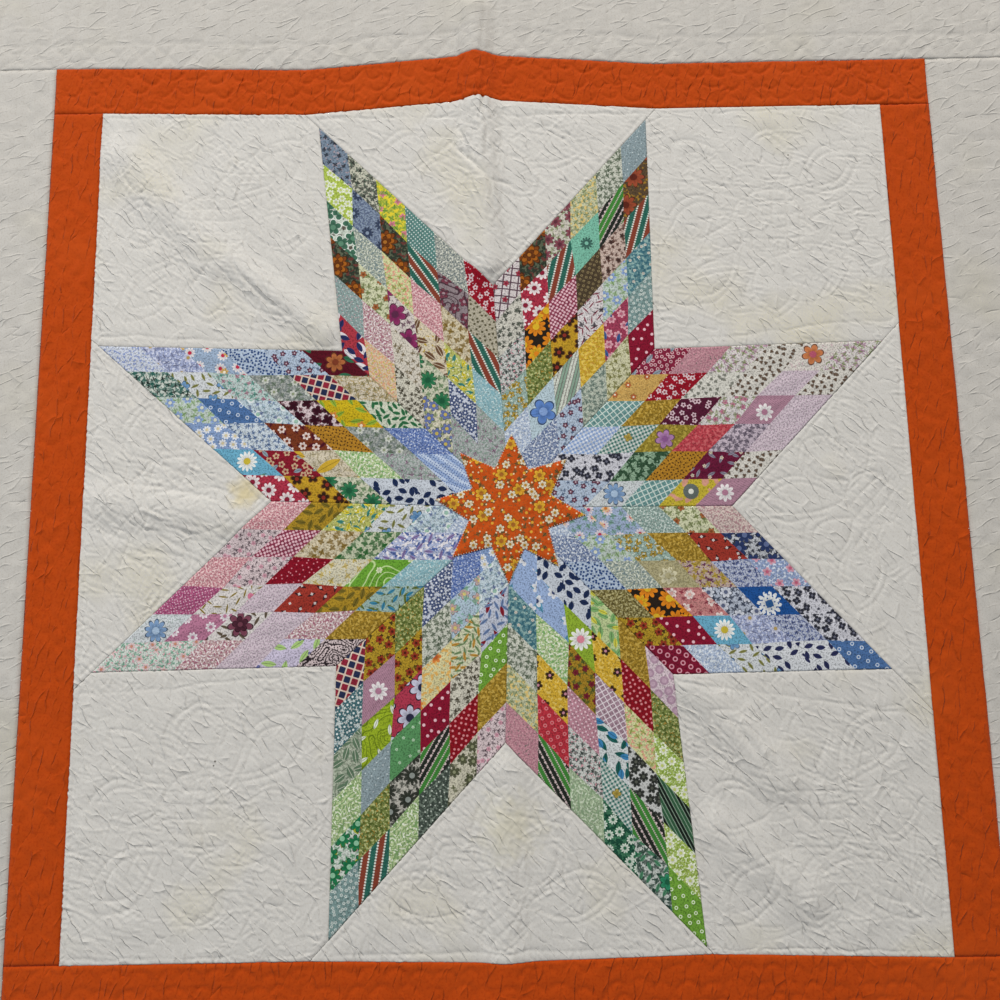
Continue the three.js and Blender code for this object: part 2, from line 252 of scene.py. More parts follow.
def quilted_ground(
    place, seams, quilting, seed, loft, rise, groove, pucker, seam_pucker, stray, uneven, lean=140,
):
    """The quilted face of a panel, as heights over the ground it covers. The cloth is held down on its lines
    and pushed up by the filling between them. The thread draws it into puckers, and washing has left it
    creased."""
    random = np.random.default_rng(seed)
    spots = place.reshape(-1, 2)
    low = spots.min(axis=0) - GROUND_MARGIN
    columns, rows = (np.ceil((spots.max(axis=0) + GROUND_MARGIN - low) / CELL)).astype(int) + 1
    ground = {"low": low, "crease": np.zeros((rows, columns))}
    across, up = np.meshgrid(low[0] + np.arange(columns) * CELL, low[1] + np.arange(rows) * CELL)
    spread = np.stack([across, up], axis=2)
    away = np.full((rows, columns), (LINE_REACH + 1) * CELL)
    firm = np.ones((rows, columns))
    for line in seams + quilting:
        points, _ = walked(line, CELL)
        held = np.clip(0.8 + 0.35 * patchy(random, len(points), 24), 0.25, 1.3)
        for point, hold in zip(points, held):
            column, row = ((point - low) / CELL).astype(int)
            window = (
                slice(max(row - LINE_REACH, 0), row + LINE_REACH + 1),
                slice(max(column - LINE_REACH, 0), column + LINE_REACH + 1),
            )
            gap = np.hypot(across[window] - point[0], up[window] - point[1])
            nearer = gap < away[window]
            away[window] = np.where(nearer, gap, away[window])
            firm[window] = np.where(nearer, hold, firm[window])
    for line in quilting:
        puckered(ground, random, line, 9 * MM, 12 * MM, pucker)
    for line in seams:
        puckered(ground, random, line, 8 * MM, 15 * MM, seam_pucker)
    stray_creases(ground, random, np.array([columns, rows]) * CELL, stray, lean)
    fold_creases(ground, random)
    filled = loft * (0.85 + 0.25 * waves(random, spread, 60 * MM, 200 * MM))
    face = SEWN_HIGH + filled * (1 - np.exp(-away / rise))
    face -= groove * firm * np.exp(-(away / (1.5 * MM)) ** 1.5)
    swell = uneven * waves(random, spread, 50 * MM, 150 * MM)
    face += ground["crease"] + swell * (1 - np.exp(-away / (10 * MM)))
    ground["face"] = np.maximum(face, LEAST_HIGH - np.minimum(fold_lift(spread), FOLD_SLACK))
    return ground


def height_on(ground, place):
    """The height of the quilted face at each place, read between the ground's cells."""
    spot = (place - ground["low"]) / CELL
    rows, columns = ground["face"].shape
    column = np.clip(spot[..., 0].astype(int), 0, columns - 2)
    row = np.clip(spot[..., 1].astype(int), 0, rows - 2)
    x, y = spot[..., 0] - column, spot[..., 1] - row
    face = ground["face"]
    lower = face[row, column] * (1 - x) + face[row, column + 1] * x
    upper = face[row + 1, column] * (1 - x) + face[row + 1, column + 1] * x
    return lower * (1 - y) + upper * y


def square_rim(rows, columns):
    """The way round the edge of a panel of four sides."""
    rim = [(0, column) for column in range(columns)]
    rim += [(row, columns - 1) for row in range(1, rows)]
    rim += [(rows - 1, column) for column in range(columns - 2, -1, -1)]
    return rim + [(row, 0) for row in range(rows - 2, 0, -1)]


def as_laid(row, column, places):
    """Cloth in one piece: its print runs on over the whole panel."""
    return places


def one_cloth(row, column):
    return 0


def turns_left(points):
    """Twice the area that a closed line goes round, below nothing if it goes round to the right."""
    ahead = np.roll(points, -1, axis=0)
    return float(np.sum(points[:, 0] * ahead[:, 1] - ahead[:, 0] * points[:, 1]))


def linked(name, mesh):
    """The piece that shows a mesh."""
    piece = bpy.data.objects.new(name, mesh)
    bpy.context.scene.collection.objects.link(piece)
    return piece


def cloth_object(
    name, place, height, materials, face_cloth=as_laid, face_material=one_cloth, inside=None, rim=None,
):
    """One panel as a closed piece: its quilted face, its edge and its underside on the surface."""
    if inside is None:
        inside = np.ones(place.shape[:2], bool)
        rim = square_rim(*place.shape[:2])
    lifted = height + fold_lift(place)
    number = np.full(inside.shape, -1)
    number[inside] = np.arange(inside.sum())
    top = np.concatenate([place[inside], lifted[inside][:, None]], axis=1)
    a, b = number[:-1, :-1], number[:-1, 1:]
    c, d = number[1:, 1:], number[1:, :-1]
    whole = (a >= 0) & (b >= 0) & (c >= 0) & (d >= 0)
    half = (a >= 0) & (b >= 0) & (d >= 0) & (c < 0)
    quads = np.stack([a[whole], b[whole], c[whole], d[whole]], axis=1)
    threes = np.stack([a[half], b[half], d[half]], axis=1)
    cells = np.argwhere(whole).tolist() + np.argwhere(half).tolist()
    faces = quads.tolist() + threes.tolist()
    corners = top[faces[0]][:3, :2]
    if np.cross(corners[1] - corners[0], corners[2] - corners[0]) < 0:
        faces = [face[::-1] for face in faces]
    loop = [int(number[row, column]) for row, column in rim]
    if turns_left(top[loop, :2]) < 0:
        loop.reverse()
    under = np.concatenate([top[loop, :2], np.zeros((len(loop), 1))], axis=1)
    below = [len(top) + step for step in range(len(loop))]
    edge = [
        [below[step], below[(step + 1) % len(loop)], loop[(step + 1) % len(loop)], loop[step]]
        for step in range(len(loop))
    ]
    hidden = edge + [below[::-1]]
    mesh = bpy.data.meshes.new(name)
    mesh.from_pydata(np.concatenate([top, under]).tolist(), [], faces + hidden)
    for material in materials:
        mesh.materials.append(material)
    flat_places = np.array([vertex.co[:2] for vertex in mesh.vertices])
    laid = [face_cloth(row, column, flat_places[face]) for face, (row, column) in zip(faces, cells)]
    laid += [flat_places[face] for face in hidden]
    cloth = mesh.uv_layers.new(name="cloth")
    cloth.data.foreach_set("uv", np.concatenate(laid).astype(np.float32).ravel())
    chosen = np.full(len(mesh.polygons), len(materials) - 1)
    chosen[:len(faces)] = [face_material(row, column) for row, column in cells]
    mesh.polygons.foreach_set("material_index", chosen)
    mesh.polygons.foreach_set("use_smooth", np.arange(len(mesh.polygons)) < len(faces))
    mesh.update()
    return linked(name, mesh)


def dye(colour):
    """A colour written as six hexadecimal digits, as light."""
    parts = [int(colour[place:place + 2], 16) / 255 for place in (0, 2, 4)]
    light = [part / 12.92 if part <= 0.04045 else ((part + 0.055) / 1.055) ** 2.4 for part in parts]
    return (*light, 1)


def deeper(colour, share):
    """The same dye printed darker."""
    return "".join(f"{int(int(colour[at:at + 2], 16) * share):02x}" for at in (0, 2, 4))


def placed(tree, kind, values, **settings):
    """A node's outputs, with its inputs filled: a socket is joined and a plain value is set."""
    node = tree.nodes.new("ShaderNode" + kind)
    for setting, value in settings.items():
        setattr(node, setting, value)
    for socket, value in values.items():
        if isinstance(value, bpy.types.NodeSocket):
            tree.links.new(value, node.inputs[socket])
        else:
            node.inputs[socket].default_value = value
    return node.outputs


def joined(value, socket):
    value.id_data.links.new(value, socket)


def worked(operation, *values, clamp=False):
    """One step of arithmetic between sockets and plain numbers, in the tree that the sockets belong to."""
    tree = next(value.id_data for value in values if isinstance(value, bpy.types.NodeSocket))
    return placed(tree, "Math", dict(enumerate(values)), operation=operation, use_clamp=clamp)[0]


times, plus, minus, divided, times_plus = (
    partial(worked, operation) for operation in ("MULTIPLY", "ADD", "SUBTRACT", "DIVIDE", "MULTIPLY_ADD")
)


def noise(cloth, scale, detail):
    """Soft blotches over the cloth, as a strength and as a colour."""
    values = {"Vector": cloth, "Scale": scale, "Detail": detail}
    return placed(cloth.id_data, "TexNoise", values, noise_dimensions="2D")


def new_group(name, takes, gives):
    """A node group with its inputs and outputs. Cloth and Place are places, and all else are numbers."""
    tree = bpy.data.node_groups.new(name, "ShaderNodeTree")
    for label in takes.split():
        kind = "Vector" if label in ("Cloth", "Place") else "Float"
        tree.interface.new_socket(label, in_out="INPUT", socket_type="NodeSocket" + kind)
    for label in gives.split():
        tree.interface.new_socket(label, in_out="OUTPUT", socket_type="NodeSocketFloat")
    return tree, tree.nodes.new("NodeGroupInput").outputs, tree.nodes.new("NodeGroupOutput").inputs


PRINT_EDGE = 0.5 * MM


def within(limit, distance):
    """A printed shape with a slightly soft edge: one inside the limit and nothing outside it."""
    return times_plus(minus(limit, distance), 1 / PRINT_EDGE, 0.5, clamp=True)


def scattered(tree, given):
    """Motifs on a grid, or strewn off it: the place seen from its nearest motif, and that motif's chance."""
    values = {"Vector": given["Cloth"], "Scale": divided(1.0, given["Every"]), "Randomness": given["Scatter"]}
    cells = placed(tree, "TexVoronoi", values, voronoi_dimensions="2D")
    local = placed(tree, "VectorMath", {0: given["Cloth"], 1: cells["Position"]}, operation="SUBTRACT")[0]
    chance = placed(tree, "SeparateColor", {0: cells["Color"]})
    return local, chance[0], worked("LESS_THAN", chance[1], given["Share"])


flower_tree, given, result = new_group(
    "printed_flowers", "Cloth Every Scatter Share Reach Petals", "Petals Heart Rim Shade",
)
local, turn, shown = scattered(flower_tree, given)
parts = placed(flower_tree, "SeparateXYZ", {0: local})
distance = placed(flower_tree, "VectorMath", {0: local}, operation="LENGTH")["Value"]
angle = times_plus(turn, 2 * math.pi, worked("ARCTAN2", parts[1], parts[0]))
wave = worked("ABSOLUTE", worked("COSINE", times(angle, times(given["Petals"], 0.5))))
wave = times_plus(worked("POWER", wave, 0.7), 0.5, 0.5)
edge = times(wave, given["Reach"])
petals = within(edge, distance)
heart = within(times(given["Reach"], 0.34), distance)
rim = minus(within(times_plus(edge, 1.1, 0.5 * MM), distance), petals)
shade = times(times(minus(0.8, divided(distance, edge)), 2.0, clamp=True), petals)
for label, mask in (("Petals", petals), ("Heart", heart), ("Rim", rim), ("Shade", shade)):
    joined(times(mask, shown), result[label])

# The two side leaves of a sprig point away from its stem, so much along it and so much aside.
SIDE_LEAF_ALONG, SIDE_LEAF_ASIDE = 0.57, 0.82
leaf_tree, given, result = new_group(
    "printed_leaves", "Cloth Every Scatter Share Length Width Sprig", "Leaf Vein",
)
local, turn, shown = scattered(leaf_tree, given)
spin = {"Vector": local, "Angle": times(turn, 2 * math.pi)}
spun = placed(leaf_tree, "VectorRotate", spin, rotation_type="Z_AXIS")[0]
parts = placed(leaf_tree, "SeparateXYZ", {0: spun})
share = divided(parts[0], given["Length"])
aside = worked("ABSOLUTE", parts[1])
leaf = within(times(minus(1.0, times(share, share)), given["Width"]), aside)
from_stem = times_plus(given["Length"], 0.15, parts[0])
outward = times_plus(aside, SIDE_LEAF_ASIDE, times(from_stem, SIDE_LEAF_ALONG))
beside = times_plus(aside, SIDE_LEAF_ALONG, times(from_stem, -SIDE_LEAF_ASIDE))
share = minus(divided(outward, times(given["Length"], 0.5)), 1.1)
narrowing = times(minus(0.75, times(share, share)), given["Width"])
side_leaf = within(narrowing, worked("ABSOLUTE", beside))
leaf = times(worked("MAXIMUM", leaf, times(side_leaf, given["Sprig"])), shown)
fainter = times(times_plus(turn, 0.35, -0.35), given["Sprig"])
leaf = times(leaf, plus(fainter, 1.0))
joined(leaf, result["Leaf"])
joined(times(within(0.4 * MM, aside), leaf), result["Vein"])

speck_tree, given, result = new_group("printed_specks", "Cloth Grain Cover", "Speck")
shifted = placed(speck_tree, "VectorMath", {0: given["Cloth"], 1: given["Cover"]}, operation="ADD")[0]
speckled = noise(shifted, divided(1.0, given["Grain"]), 1.0)[0]
least = times_plus(given["Cover"], -0.4, 0.7)
joined(times(minus(speckled, least), 14.0, clamp=True), result["Speck"])

curl_tree, given, result = new_group("printed_curls", "Cloth Size Width", "Curl")
swirl = noise(given["Cloth"], divided(1.0, given["Size"]), 0.4)[0]
band = worked("ABSOLUTE", minus(worked("FRACT", times(swirl, 9.0)), 0.5))
joined(times_plus(minus(given["Width"], band), 8.0, 0.5, clamp=True), result["Curl"])

bar_tree, given, result = new_group("printed_bars", "Cloth Pitch", "Bar Beads Check Line Parity")
parts = placed(bar_tree, "SeparateXYZ", {0: given["Cloth"]})
across, along = divided(parts[1], given["Pitch"]), divided(parts[0], given["Pitch"])
bar, post = [worked("LESS_THAN", worked("FRACT", way), 0.5) for way in (across, along)]
half_row = times(minus(worked("FRACT", times_plus(across, 2.0, 0.5)), 0.5), 0.5)
bead = times(minus(worked("FRACT", times(along, 5.0)), 0.5), 0.2)
bead_away = worked("SQRT", plus(times(half_row, half_row), times(bead, bead)))
lines = [worked("ABSOLUTE", minus(worked("FRACT", plus(way, 0.5)), 0.5)) for way in (across, along)]
line_away = worked("MINIMUM", *lines)
joined(bar, result["Bar"])
joined(times_plus(minus(0.072, bead_away), 30.0, 0.5, clamp=True), result["Beads"])
joined(times(plus(bar, post), 0.5), result["Check"])
joined(times_plus(minus(0.09, line_away), 20.0, 0.5, clamp=True), result["Line"])
joined(worked("ABSOLUTE", minus(bar, post)), result["Parity"])

# Plain cotton: fine over and under threads, and the uneven tone of cloth that has been washed for years.
weave_tree, given, result = new_group("cotton_weave", "Cloth Thread", "Height Tone Grain")
parts = placed(weave_tree, "SeparateXYZ", {0: given["Cloth"]})
turns = divided(2 * math.pi, given["Thread"])
warp, weft = [worked("SINE", times(parts[way], turns)) for way in (0, 1)]
joined(times(warp, weft), result["Height"])
joined(times_plus(noise(given["Cloth"], 45.0, 3.0)[0], 0.16, 0.92), result["Tone"])
joined(minus(noise(given["Cloth"], 420.0, 2.0)[0], 0.5), result["Grain"])

# The fine creases of washed cotton: thin broken ridges and troughs, drawn out along the way the cloth leans.
CREASE_STRETCH = (0.24, 1.0, 1.0)
crease_tree, given, result = new_group("washed_creases", "Cloth Lean Size", "Height")
drift = noise(given["Cloth"], 24.0, 2.0)[1]
drift = placed(crease_tree, "VectorMath", {0: drift, 3: 0.014}, operation="SCALE")[0]
strayed = placed(crease_tree, "VectorMath", {0: given["Cloth"], 1: drift}, operation="ADD")[0]
spin = {"Vector": strayed, "Angle": given["Lean"]}
turned = placed(crease_tree, "VectorRotate", spin, rotation_type="Z_AXIS")[0]
drawn = placed(crease_tree, "VectorMath", {0: turned, 1: CREASE_STRETCH}, operation="MULTIPLY")[0]
nearest = placed(
    crease_tree, "TexVoronoi", {"Vector": drawn, "Scale": divided(1.0, given["Size"])},
    voronoi_dimensions="2D", feature="DISTANCE_TO_EDGE",
)["Distance"]
ridge = minus(1.0, times(nearest, 8.0, clamp=True))
broken = noise(given["Cloth"], 30.0, 2.0)[0]
raised = times(minus(broken, 0.47), 6.0, clamp=True)
pressed = times(minus(0.44, broken), 6.0, clamp=True)
joined(times(times(ridge, ridge), minus(raised, pressed)), result["Height"])


def laid_over(under, colour, mask):
    """A dye printed over what lies under it, where the mask is."""
    return placed(mask.id_data, "Mix", {0: mask, 6: under, 7: dye(colour)}, data_type="RGBA")[2]


def grouped(group, cloth, values):
    return placed(cloth.id_data, "Group", {"Cloth": cloth} | values, node_tree=group)


def stamped(group, shape, colour, **values):
    """A print in one colour of the one shape that a group gives."""
    def printed(cloth, under):
        return laid_over(under, colour, grouped(group, cloth, values)[shape])
    return printed


def specks(colour, grain, cover):
    return stamped(speck_tree, "Speck", colour, Grain=grain * MM, Cover=cover)


def curls(colour, size, width):
    return stamped(curl_tree, "Curl", colour, Size=size * MM, Width=width)


PALE_DYE = 0.6
SPRIG_LENGTH = 6.6


def flowers(petal, heart, every, reach, petals, scatter=0.8, share=1.0, rim=None):
    """Flowers or round dots: their colours, spacing, reach, petals, and how strewn and how many there are."""
    if petals and not rim and max(dye(petal)[:3]) < PALE_DYE:
        rim = deeper(petal, 0.55)
    sizes = {"Every": every * MM, "Scatter": scatter, "Share": share, "Reach": reach * MM, "Petals": petals}

    def printed(cloth, under):
        shapes = grouped(flower_tree, cloth, sizes)
        if rim:
            under = laid_over(under, rim, shapes["Rim"])
        under = laid_over(under, petal, shapes["Petals"])
        if petals:
            under = laid_over(under, deeper(petal, 0.8), shapes["Shade"])
        return laid_over(under, heart, shapes["Heart"]) if heart else under
    return printed


def leaves(colour, every, length, width, share=1.0, scatter=0.9, vein=None):
    """Large leaves, or sprigs of three small ones with specks of the same dye between them."""
    sprig = length < SPRIG_LENGTH
    sizes = {
        "Every": every * MM, "Scatter": scatter, "Share": share,
        "Length": length * MM, "Width": width * MM, "Sprig": float(sprig),
    }

    def printed(cloth, under):
        if sprig:
            under = specks(colour, 2.2 + 0.2 * length, 0.09)(cloth, under)
        shapes = grouped(leaf_tree, cloth, sizes)
        under = laid_over(under, colour, shapes["Leaf"])
        return laid_over(under, vein or deeper(colour, 0.6), shapes["Vein"])
    return printed


def bars(pitch, **colours):
    """A woven or printed geometry: broad bars, rows of beads, a gingham check, a lattice or its diamonds."""
    def printed(cloth, under):
        shapes = grouped(bar_tree, cloth, {"Pitch": pitch * MM})
        for shape, colour in colours.items():
            under = laid_over(under, colour, shapes[shape.capitalize()])
        return under
    return printed


def dots(colour, every, reach, scatter=0.0, share=1.0):
    return flowers(colour, None, every, reach, 0, scatter, share)


def rings(colour, ground, every, reach, scatter=0.0):
    """Round dots with the ground showing in their middles."""
    def printed(cloth, under):
        under = dots(colour, every, reach, scatter)(cloth, under)
        return dots(ground, every, reach * 0.55, scatter)(cloth, under)
    return printed


CREASE_SIZE = 16 * MM


def cotton(name, ground, layers, thread=0.8, grain=0.0, creased=0.0, lean=0.85):
    """A cotton cloth: its ground colour, what is printed on it, its weave, worn tone and fine creases."""
    material = bpy.data.materials.new(name)
    material.use_nodes = True
    tree = material.node_tree
    shader = tree.nodes["Principled BSDF"]
    cloth = placed(tree, "UVMap", {}, uv_map="cloth")[0]
    colour = dye(ground)
    for layer in layers:
        colour = layer(cloth, colour)
    weave = grouped(weave_tree, cloth, {"Thread": thread * MM})
    tone = times_plus(weave["Grain"], grain, weave["Tone"])
    tone = placed(tree, "CombineColor", {0: tone, 1: tone, 2: tone})[0]
    worn = placed(tree, "Mix", {0: 1.0, 6: colour, 7: tone}, data_type="RGBA", blend_type="MULTIPLY")[2]
    joined(worn, shader.inputs["Base Color"])
    normal = placed(tree, "Bump", {"Height": weave["Height"], "Strength": 0.12, "Distance": 0.15 * MM})[0]
    if creased:
        creases = grouped(crease_tree, cloth, {"Lean": lean, "Size": CREASE_SIZE})
        values = {"Height": creases["Height"], "Distance": creased * MM, "Normal": normal}
        normal = placed(tree, "Bump", values)[0]
    joined(normal, shader.inputs["Normal"])
    shader.inputs["Roughness"].default_value = 0.92
    shader.inputs["Specular IOR Level"].default_value = 0.12
    shader.inputs["Sheen Weight"].default_value = 0.04
    shader.inputs["Sheen Roughness"].default_value = 0.5
    return material


# The scraps: the ground colour of each cloth and what is printed on it. Sizes are in millimetres.
SCRAPS = {
    "red_navy_leaf": ("b03a46", [leaves("e6dfe2", 24, 13, 5.5, 0.8), leaves("2b3060", 17, 9, 4, 0.9)]),
    "teal_mist": ("8fa5a2", [specks("b3a3a6", 3, 0.25), dots("cfdad6", 7, 0.9)]),
    "rust_rose": ("333c30", [
        specks("5c6450", 6, 0.5), specks("6a3a34", 7, 0.25), flowers("7c4018", None, 46, 19, 9, 0.3),
        flowers("a8601c", None, 46, 15, 7, 0.3), flowers("6a3612", "b0702a", 46, 9, 5, 0.3),
    ]),
    "petal_green": ("ccd6c8", [
        leaves("55463c", 9, 5, 2.6, 0.6), flowers("44705a", "5f8c72", 24, 13, 5, 0.6, rim="e6ece4"),
    ]),
    "lime_daisy": ("b4c957", [flowers("eef3dc", "c3d070", 13, 6, 6)]),
    "slate_sprig": ("7d8ea0", [specks("a89aa2", 5, 0.25), leaves("2f3642", 10, 5, 2, 0.6)]),
    "peach_ditsy": ("dcc7a8", [specks("dda386", 4, 0.45), specks("c7b360", 3.5, 0.3)]),
    "mauve_ditsy": ("cbb0ae", [specks("a3697a", 3.5, 0.5), specks("ebe1e1", 3, 0.35)]),
    "rust_leaf_cream": ("d6d8b4", [leaves("808b58", 11, 5.5, 2), flowers("b06a3c", "7c4426", 26, 5, 5)]),
    "sage_ditsy": ("aab3a4", [specks("78898a", 3.5, 0.5), specks("d8dbcc", 3, 0.35)]),
    "slate_round": ("8c9bb0", [specks("5d6a84", 3, 0.55), flowers("3a4660", "8c9bb0", 30, 8.5, 10)]),
    "black_leaf": ("c9c8b6", [leaves("3c423b", 8.5, 5.5, 2.1, 0.95), specks("5f7060", 4, 0.25)]),
    "brown_clump": ("d4d0c0", [leaves("4b4536", 8, 4, 1.5, 0.95)]),
    "brown_sprig": ("d9d2c4", [leaves("85775c", 11, 4.5, 1.4, 0.85)]),
    "plum_flower": ("d9cfc8", [
        leaves("6f4a5e", 11, 5, 1.8, 0.7), flowers("8d2f62", "5c2a48", 40, 17, 6, 0.4),
    ]),
    "lemon_pink": ("d9dba4", [specks("e0a08a", 4.5, 0.4), leaves("a3ae5c", 12, 5, 1.8, 0.7)]),
    "lime_pink": ("b9c24a", [
        specks("e7d23a", 6, 0.55), flowers("e08a96", None, 24, 6, 5), leaves("7da644", 12, 5, 2),
    ]),
    "blue_gold": ("d9d4bd", [leaves("8d9a6c", 10, 5, 2), flowers("6d7bb0", "c9b45a", 20, 8, 6)]),
    "emerald_flower": ("cfd0b8", [
        leaves("6a8a60", 11, 5.5, 2.2), flowers("2f7a50", "1f5a3c", 34, 13, 9, 0.4),
    ]),
    "brown_leaf": ("dccfb6", [
        specks("b59a3c", 5, 0.2), leaves("6b4c36", 20, 12, 4.5, 0.95, vein="dccfb6"),
    ]),
    "pink_ditsy": ("d39aa0", [specks("ebcdcb", 3, 0.5), specks("b36c7a", 2.5, 0.35)]),
    "brown_teal_bar": ("2f6a5c", [bars(20, bar="86402f", beads="dfe4da")]),
    "teal_pin": ("5f8a84", [dots("d9e5df", 5, 1.05)]),
    "grey_floral": ("b2b8b6", [leaves("8f6f86", 12, 4.5, 1.6, 0.7), specks("84988c", 3.5, 0.4)]),
    "navy_cluster": ("c9cfdd", [flowers("44547f", "dfe3ec", 10, 4.6, 6)]),
    "lime_teal": ("bcbf6a", [
        leaves("3f8a80", 14, 7, 2.8), leaves("d9c93a", 17, 7, 3, 0.8), specks("e9e8c4", 4, 0.2),
    ]),
    "gold_leaf": ("d9cdb0", [specks("b8a98c", 4, 0.3), leaves("8a7034", 12, 6, 2.4)]),
    "outline_mauve": ("94868a", [flowers("7c3b4c", "a88f96", 22, 8, 5), curls("46303a", 40, 0.12)]),
    "grey_tiny": ("aeb2a8", [specks("6d787a", 3, 0.5), specks("dcdccf", 3, 0.3)]),
    "turquoise_mist": ("9cc0c6", [specks("84b0ba", 5, 0.55), specks("cfe0e0", 3, 0.25)]),
    "taupe_dot": ("b8b19d", [dots("5b5640", 8, 1.9, 0.35)]),
    "red_bandana": ("9c1226", [
        flowers("e6cfd2", "9c1226", 13, 4.4, 5, 0.7, 0.85), dots("e0c0c6", 6, 0.8, 0.9, 0.6),
    ]),
    "lattice_cream": ("dcd3d2", [bars(12, line="5c4450"), flowers("a83a4c", "7c2438", 22, 4.5, 5, 0.5)]),
    "burgundy_posy": ("d2ccc0", [leaves("8f9a70", 10, 4.5, 1.6), flowers("8a4a56", "61303c", 24, 9, 7)]),
    "lemon_sage": ("c9cba8", [leaves("8e9a6e", 9, 5, 2), specks("dcc27a", 5, 0.35)]),
    "grey_leaf": ("d0d2c4", [leaves("66735f", 8.5, 5, 1.7)]),
    "slate_pin": ("92a3a8", [dots("d3dcdc", 10, 0.9), specks("86969c", 4, 0.3)]),
    "black_sprig": ("d2cfc3", [leaves("474b44", 10, 3.8, 1.5, 0.85), flowers("63695e", None, 19, 3, 5)]),
    "red_daisy": ("b2364a", [specks("8c2038", 4, 0.3), flowers("eee2e2", "8a2038", 27, 12, 9, 0.4)]),
    "mint_sprig": ("7fc0a8", [flowers("3f6a60", "7fc0a8", 120, 9, 11, 0.0)]),
    "green_band": ("262c26", [dots("d9c3c4", 8, 1.6), bars(30, bar="3f8236"), bars(15, beads="cdbcb8")]),
    "rust_gold": ("5d4a34", [specks("a07a2c", 7, 0.4), flowers("9c4a30", "5c2418", 42, 17, 9, 0.4)]),
    "white_leaf": ("d0d2cd", [leaves("4a5450", 7.5, 4, 1.6), specks("d79aa4", 4, 0.15)]),
    "orange_black": ("2a2018", [
        flowers("e0861e", "dcb42c", 29, 16, 9, 0.5), flowers("dfae2a", "e0861e", 37, 12, 8),
    ]),
    "pink_drop": ("8f3a52", [dots("e4bac3", 5.2, 1.9, 0.3)]),
    "brown_tan": ("4f4230", [rings("94835c", "4f4230", 7.5, 2.0, 0.3)]),
    "brown_flower": ("cdb8ac", [leaves("6a4a40", 8.5, 3.6, 1.7), flowers("4c342e", None, 20, 3.4, 5)]),
    "mustard_teal": ("9ab3a8", [flowers("b79a3e", "7d6a24", 13, 5, 5), specks("c9d6cc", 4, 0.25)]),
    "olive_mottle": ("7b8848", [
        specks("b8bc80", 4, 0.45), specks("55632c", 5, 0.45), specks("a5853a", 4, 0.15),
    ]),
    "gold_dark": ("c49a2a", [flowers("382216", "8a2f24", 23, 9, 5, 0.6, rim="8a5a1c")]),
    "burgundy_line": ("dcd6d6", [leaves("9a3a52", 12, 8, 1.1), leaves("2a2430", 24, 5, 2.4, 0.7)]),
    "pale_garden": ("c3d0c8", [leaves("8fae7a", 11, 5.5, 2), flowers("8fa8d4", "d9dcc8", 24, 8, 6)]),
    "teal_mottle": ("5f8a92", [
        specks("8fb0ac", 5, 0.5), specks("3c6a78", 5, 0.45), flowers("dcd6c8", None, 17, 2.6, 5),
    ]),
    "cobalt_blot": ("bcd0d9", [flowers("5f86c8", "86a4d6", 90, 19, 5, 0.0)]),
    "plaid_burgundy": ("d6dccf", [bars(19, bar="8aa592"), bars(9.5, beads="5c3040")]),
    "yellow_tone": ("d0aa34", [specks("e2c45c", 5, 0.5), specks("c4943a", 4, 0.3)]),
    "rose_blue": ("a2405a", [flowers("e2a9b4", "b35f76", 17, 7, 6), leaves("3f5f96", 26, 8, 3, 0.8)]),
    "teal_floral": ("7f9a98", [flowers("d6dfd9", "7f9a98", 7.5, 2.4, 5, 0.7)]),
    "blue_tiny": ("8d9cb8", [specks("5b6a90", 3, 0.5), specks("d5dbe2", 3, 0.4)]),
    "blue_burgundy": ("b7c6d9", [
        leaves("5f7290", 11, 3.6, 1.2, 0.7), flowers("6a3048", "c9b4bc", 16, 3.8, 5),
    ]),
    "sage_tiny": ("bcc4b4", [leaves("74877c", 7.5, 4.2, 1.6)]),
    "lemon_olive": ("d2d0ac", [leaves("86854f", 9.5, 4.6, 1.6, 0.9)]),
    "crimson_dot": ("8c1430", [dots("e8bdc5", 15, 2.3, 0.45)]),
    "burgundy_ring": ("8a2440", [
        rings("e0b6bb", "8a2440", 8, 2.7, 0.5), leaves("8f9ba6", 30, 9, 3.6, 0.8),
    ]),
    "dusty_fine": ("c9979f", [specks("b27a88", 2.5, 0.5), leaves("6f6a66", 46, 6, 3, 0.7)]),
    "mauve_stem": ("dcd6d2", [leaves("b083a0", 13, 6, 2), leaves("93a070", 11, 5, 1.3)]),
    "brown_clover": ("d9d5cc", [flowers("6d5848", None, 10, 2.5, 3)]),
    "coral_bloom": ("dcd6ce", [specks("c9b0b4", 4, 0.2), flowers("c77a4c", "b4566c", 110, 16, 6, 0.0)]),
    "tan_bud": ("d2ab62", [specks("c29a54", 4, 0.4), flowers("c4683a", "ece0c8", 24, 4.4, 6)]),
    "pale_clover": ("dad8ce", [flowers("8a8b80", None, 9.5, 2.1, 3, 0.8, 0.85)]),
    "lilac_tiny": ("d3c3cc", [dots("a890a2", 5, 0.9, 0.4)]),
    "teal_lattice": ("6f9a98", [bars(8, line="cfdcd4")]),
    "mustard": ("a8862e", [specks("c4a44c", 5, 0.5), specks("856a22", 4, 0.45)]),
    "burgundy_white": ("571a34", [flowers("e0c3cc", "571a34", 11.5, 4.2, 5, 0.7, 0.9)]),
    "pink_bud": ("dcd6d4", [flowers("c77f98", "a85a78", 15, 4, 5), leaves("9aa27c", 10, 4.5, 1.3)]),
    "mauve_daisy": ("a4788c", [bars(2.4, bar="b48c9c"), flowers("ece6e6", "b07a92", 100, 14, 9, 0.0)]),
    "blue_gingham": ("dfe5ee", [bars(5.5, check="7f9ccb")]),
    "green_gingham": ("dde3dc", [bars(5.5, check="2f6f66"), flowers("b7a04a", None, 100, 6, 4, 0.0)]),
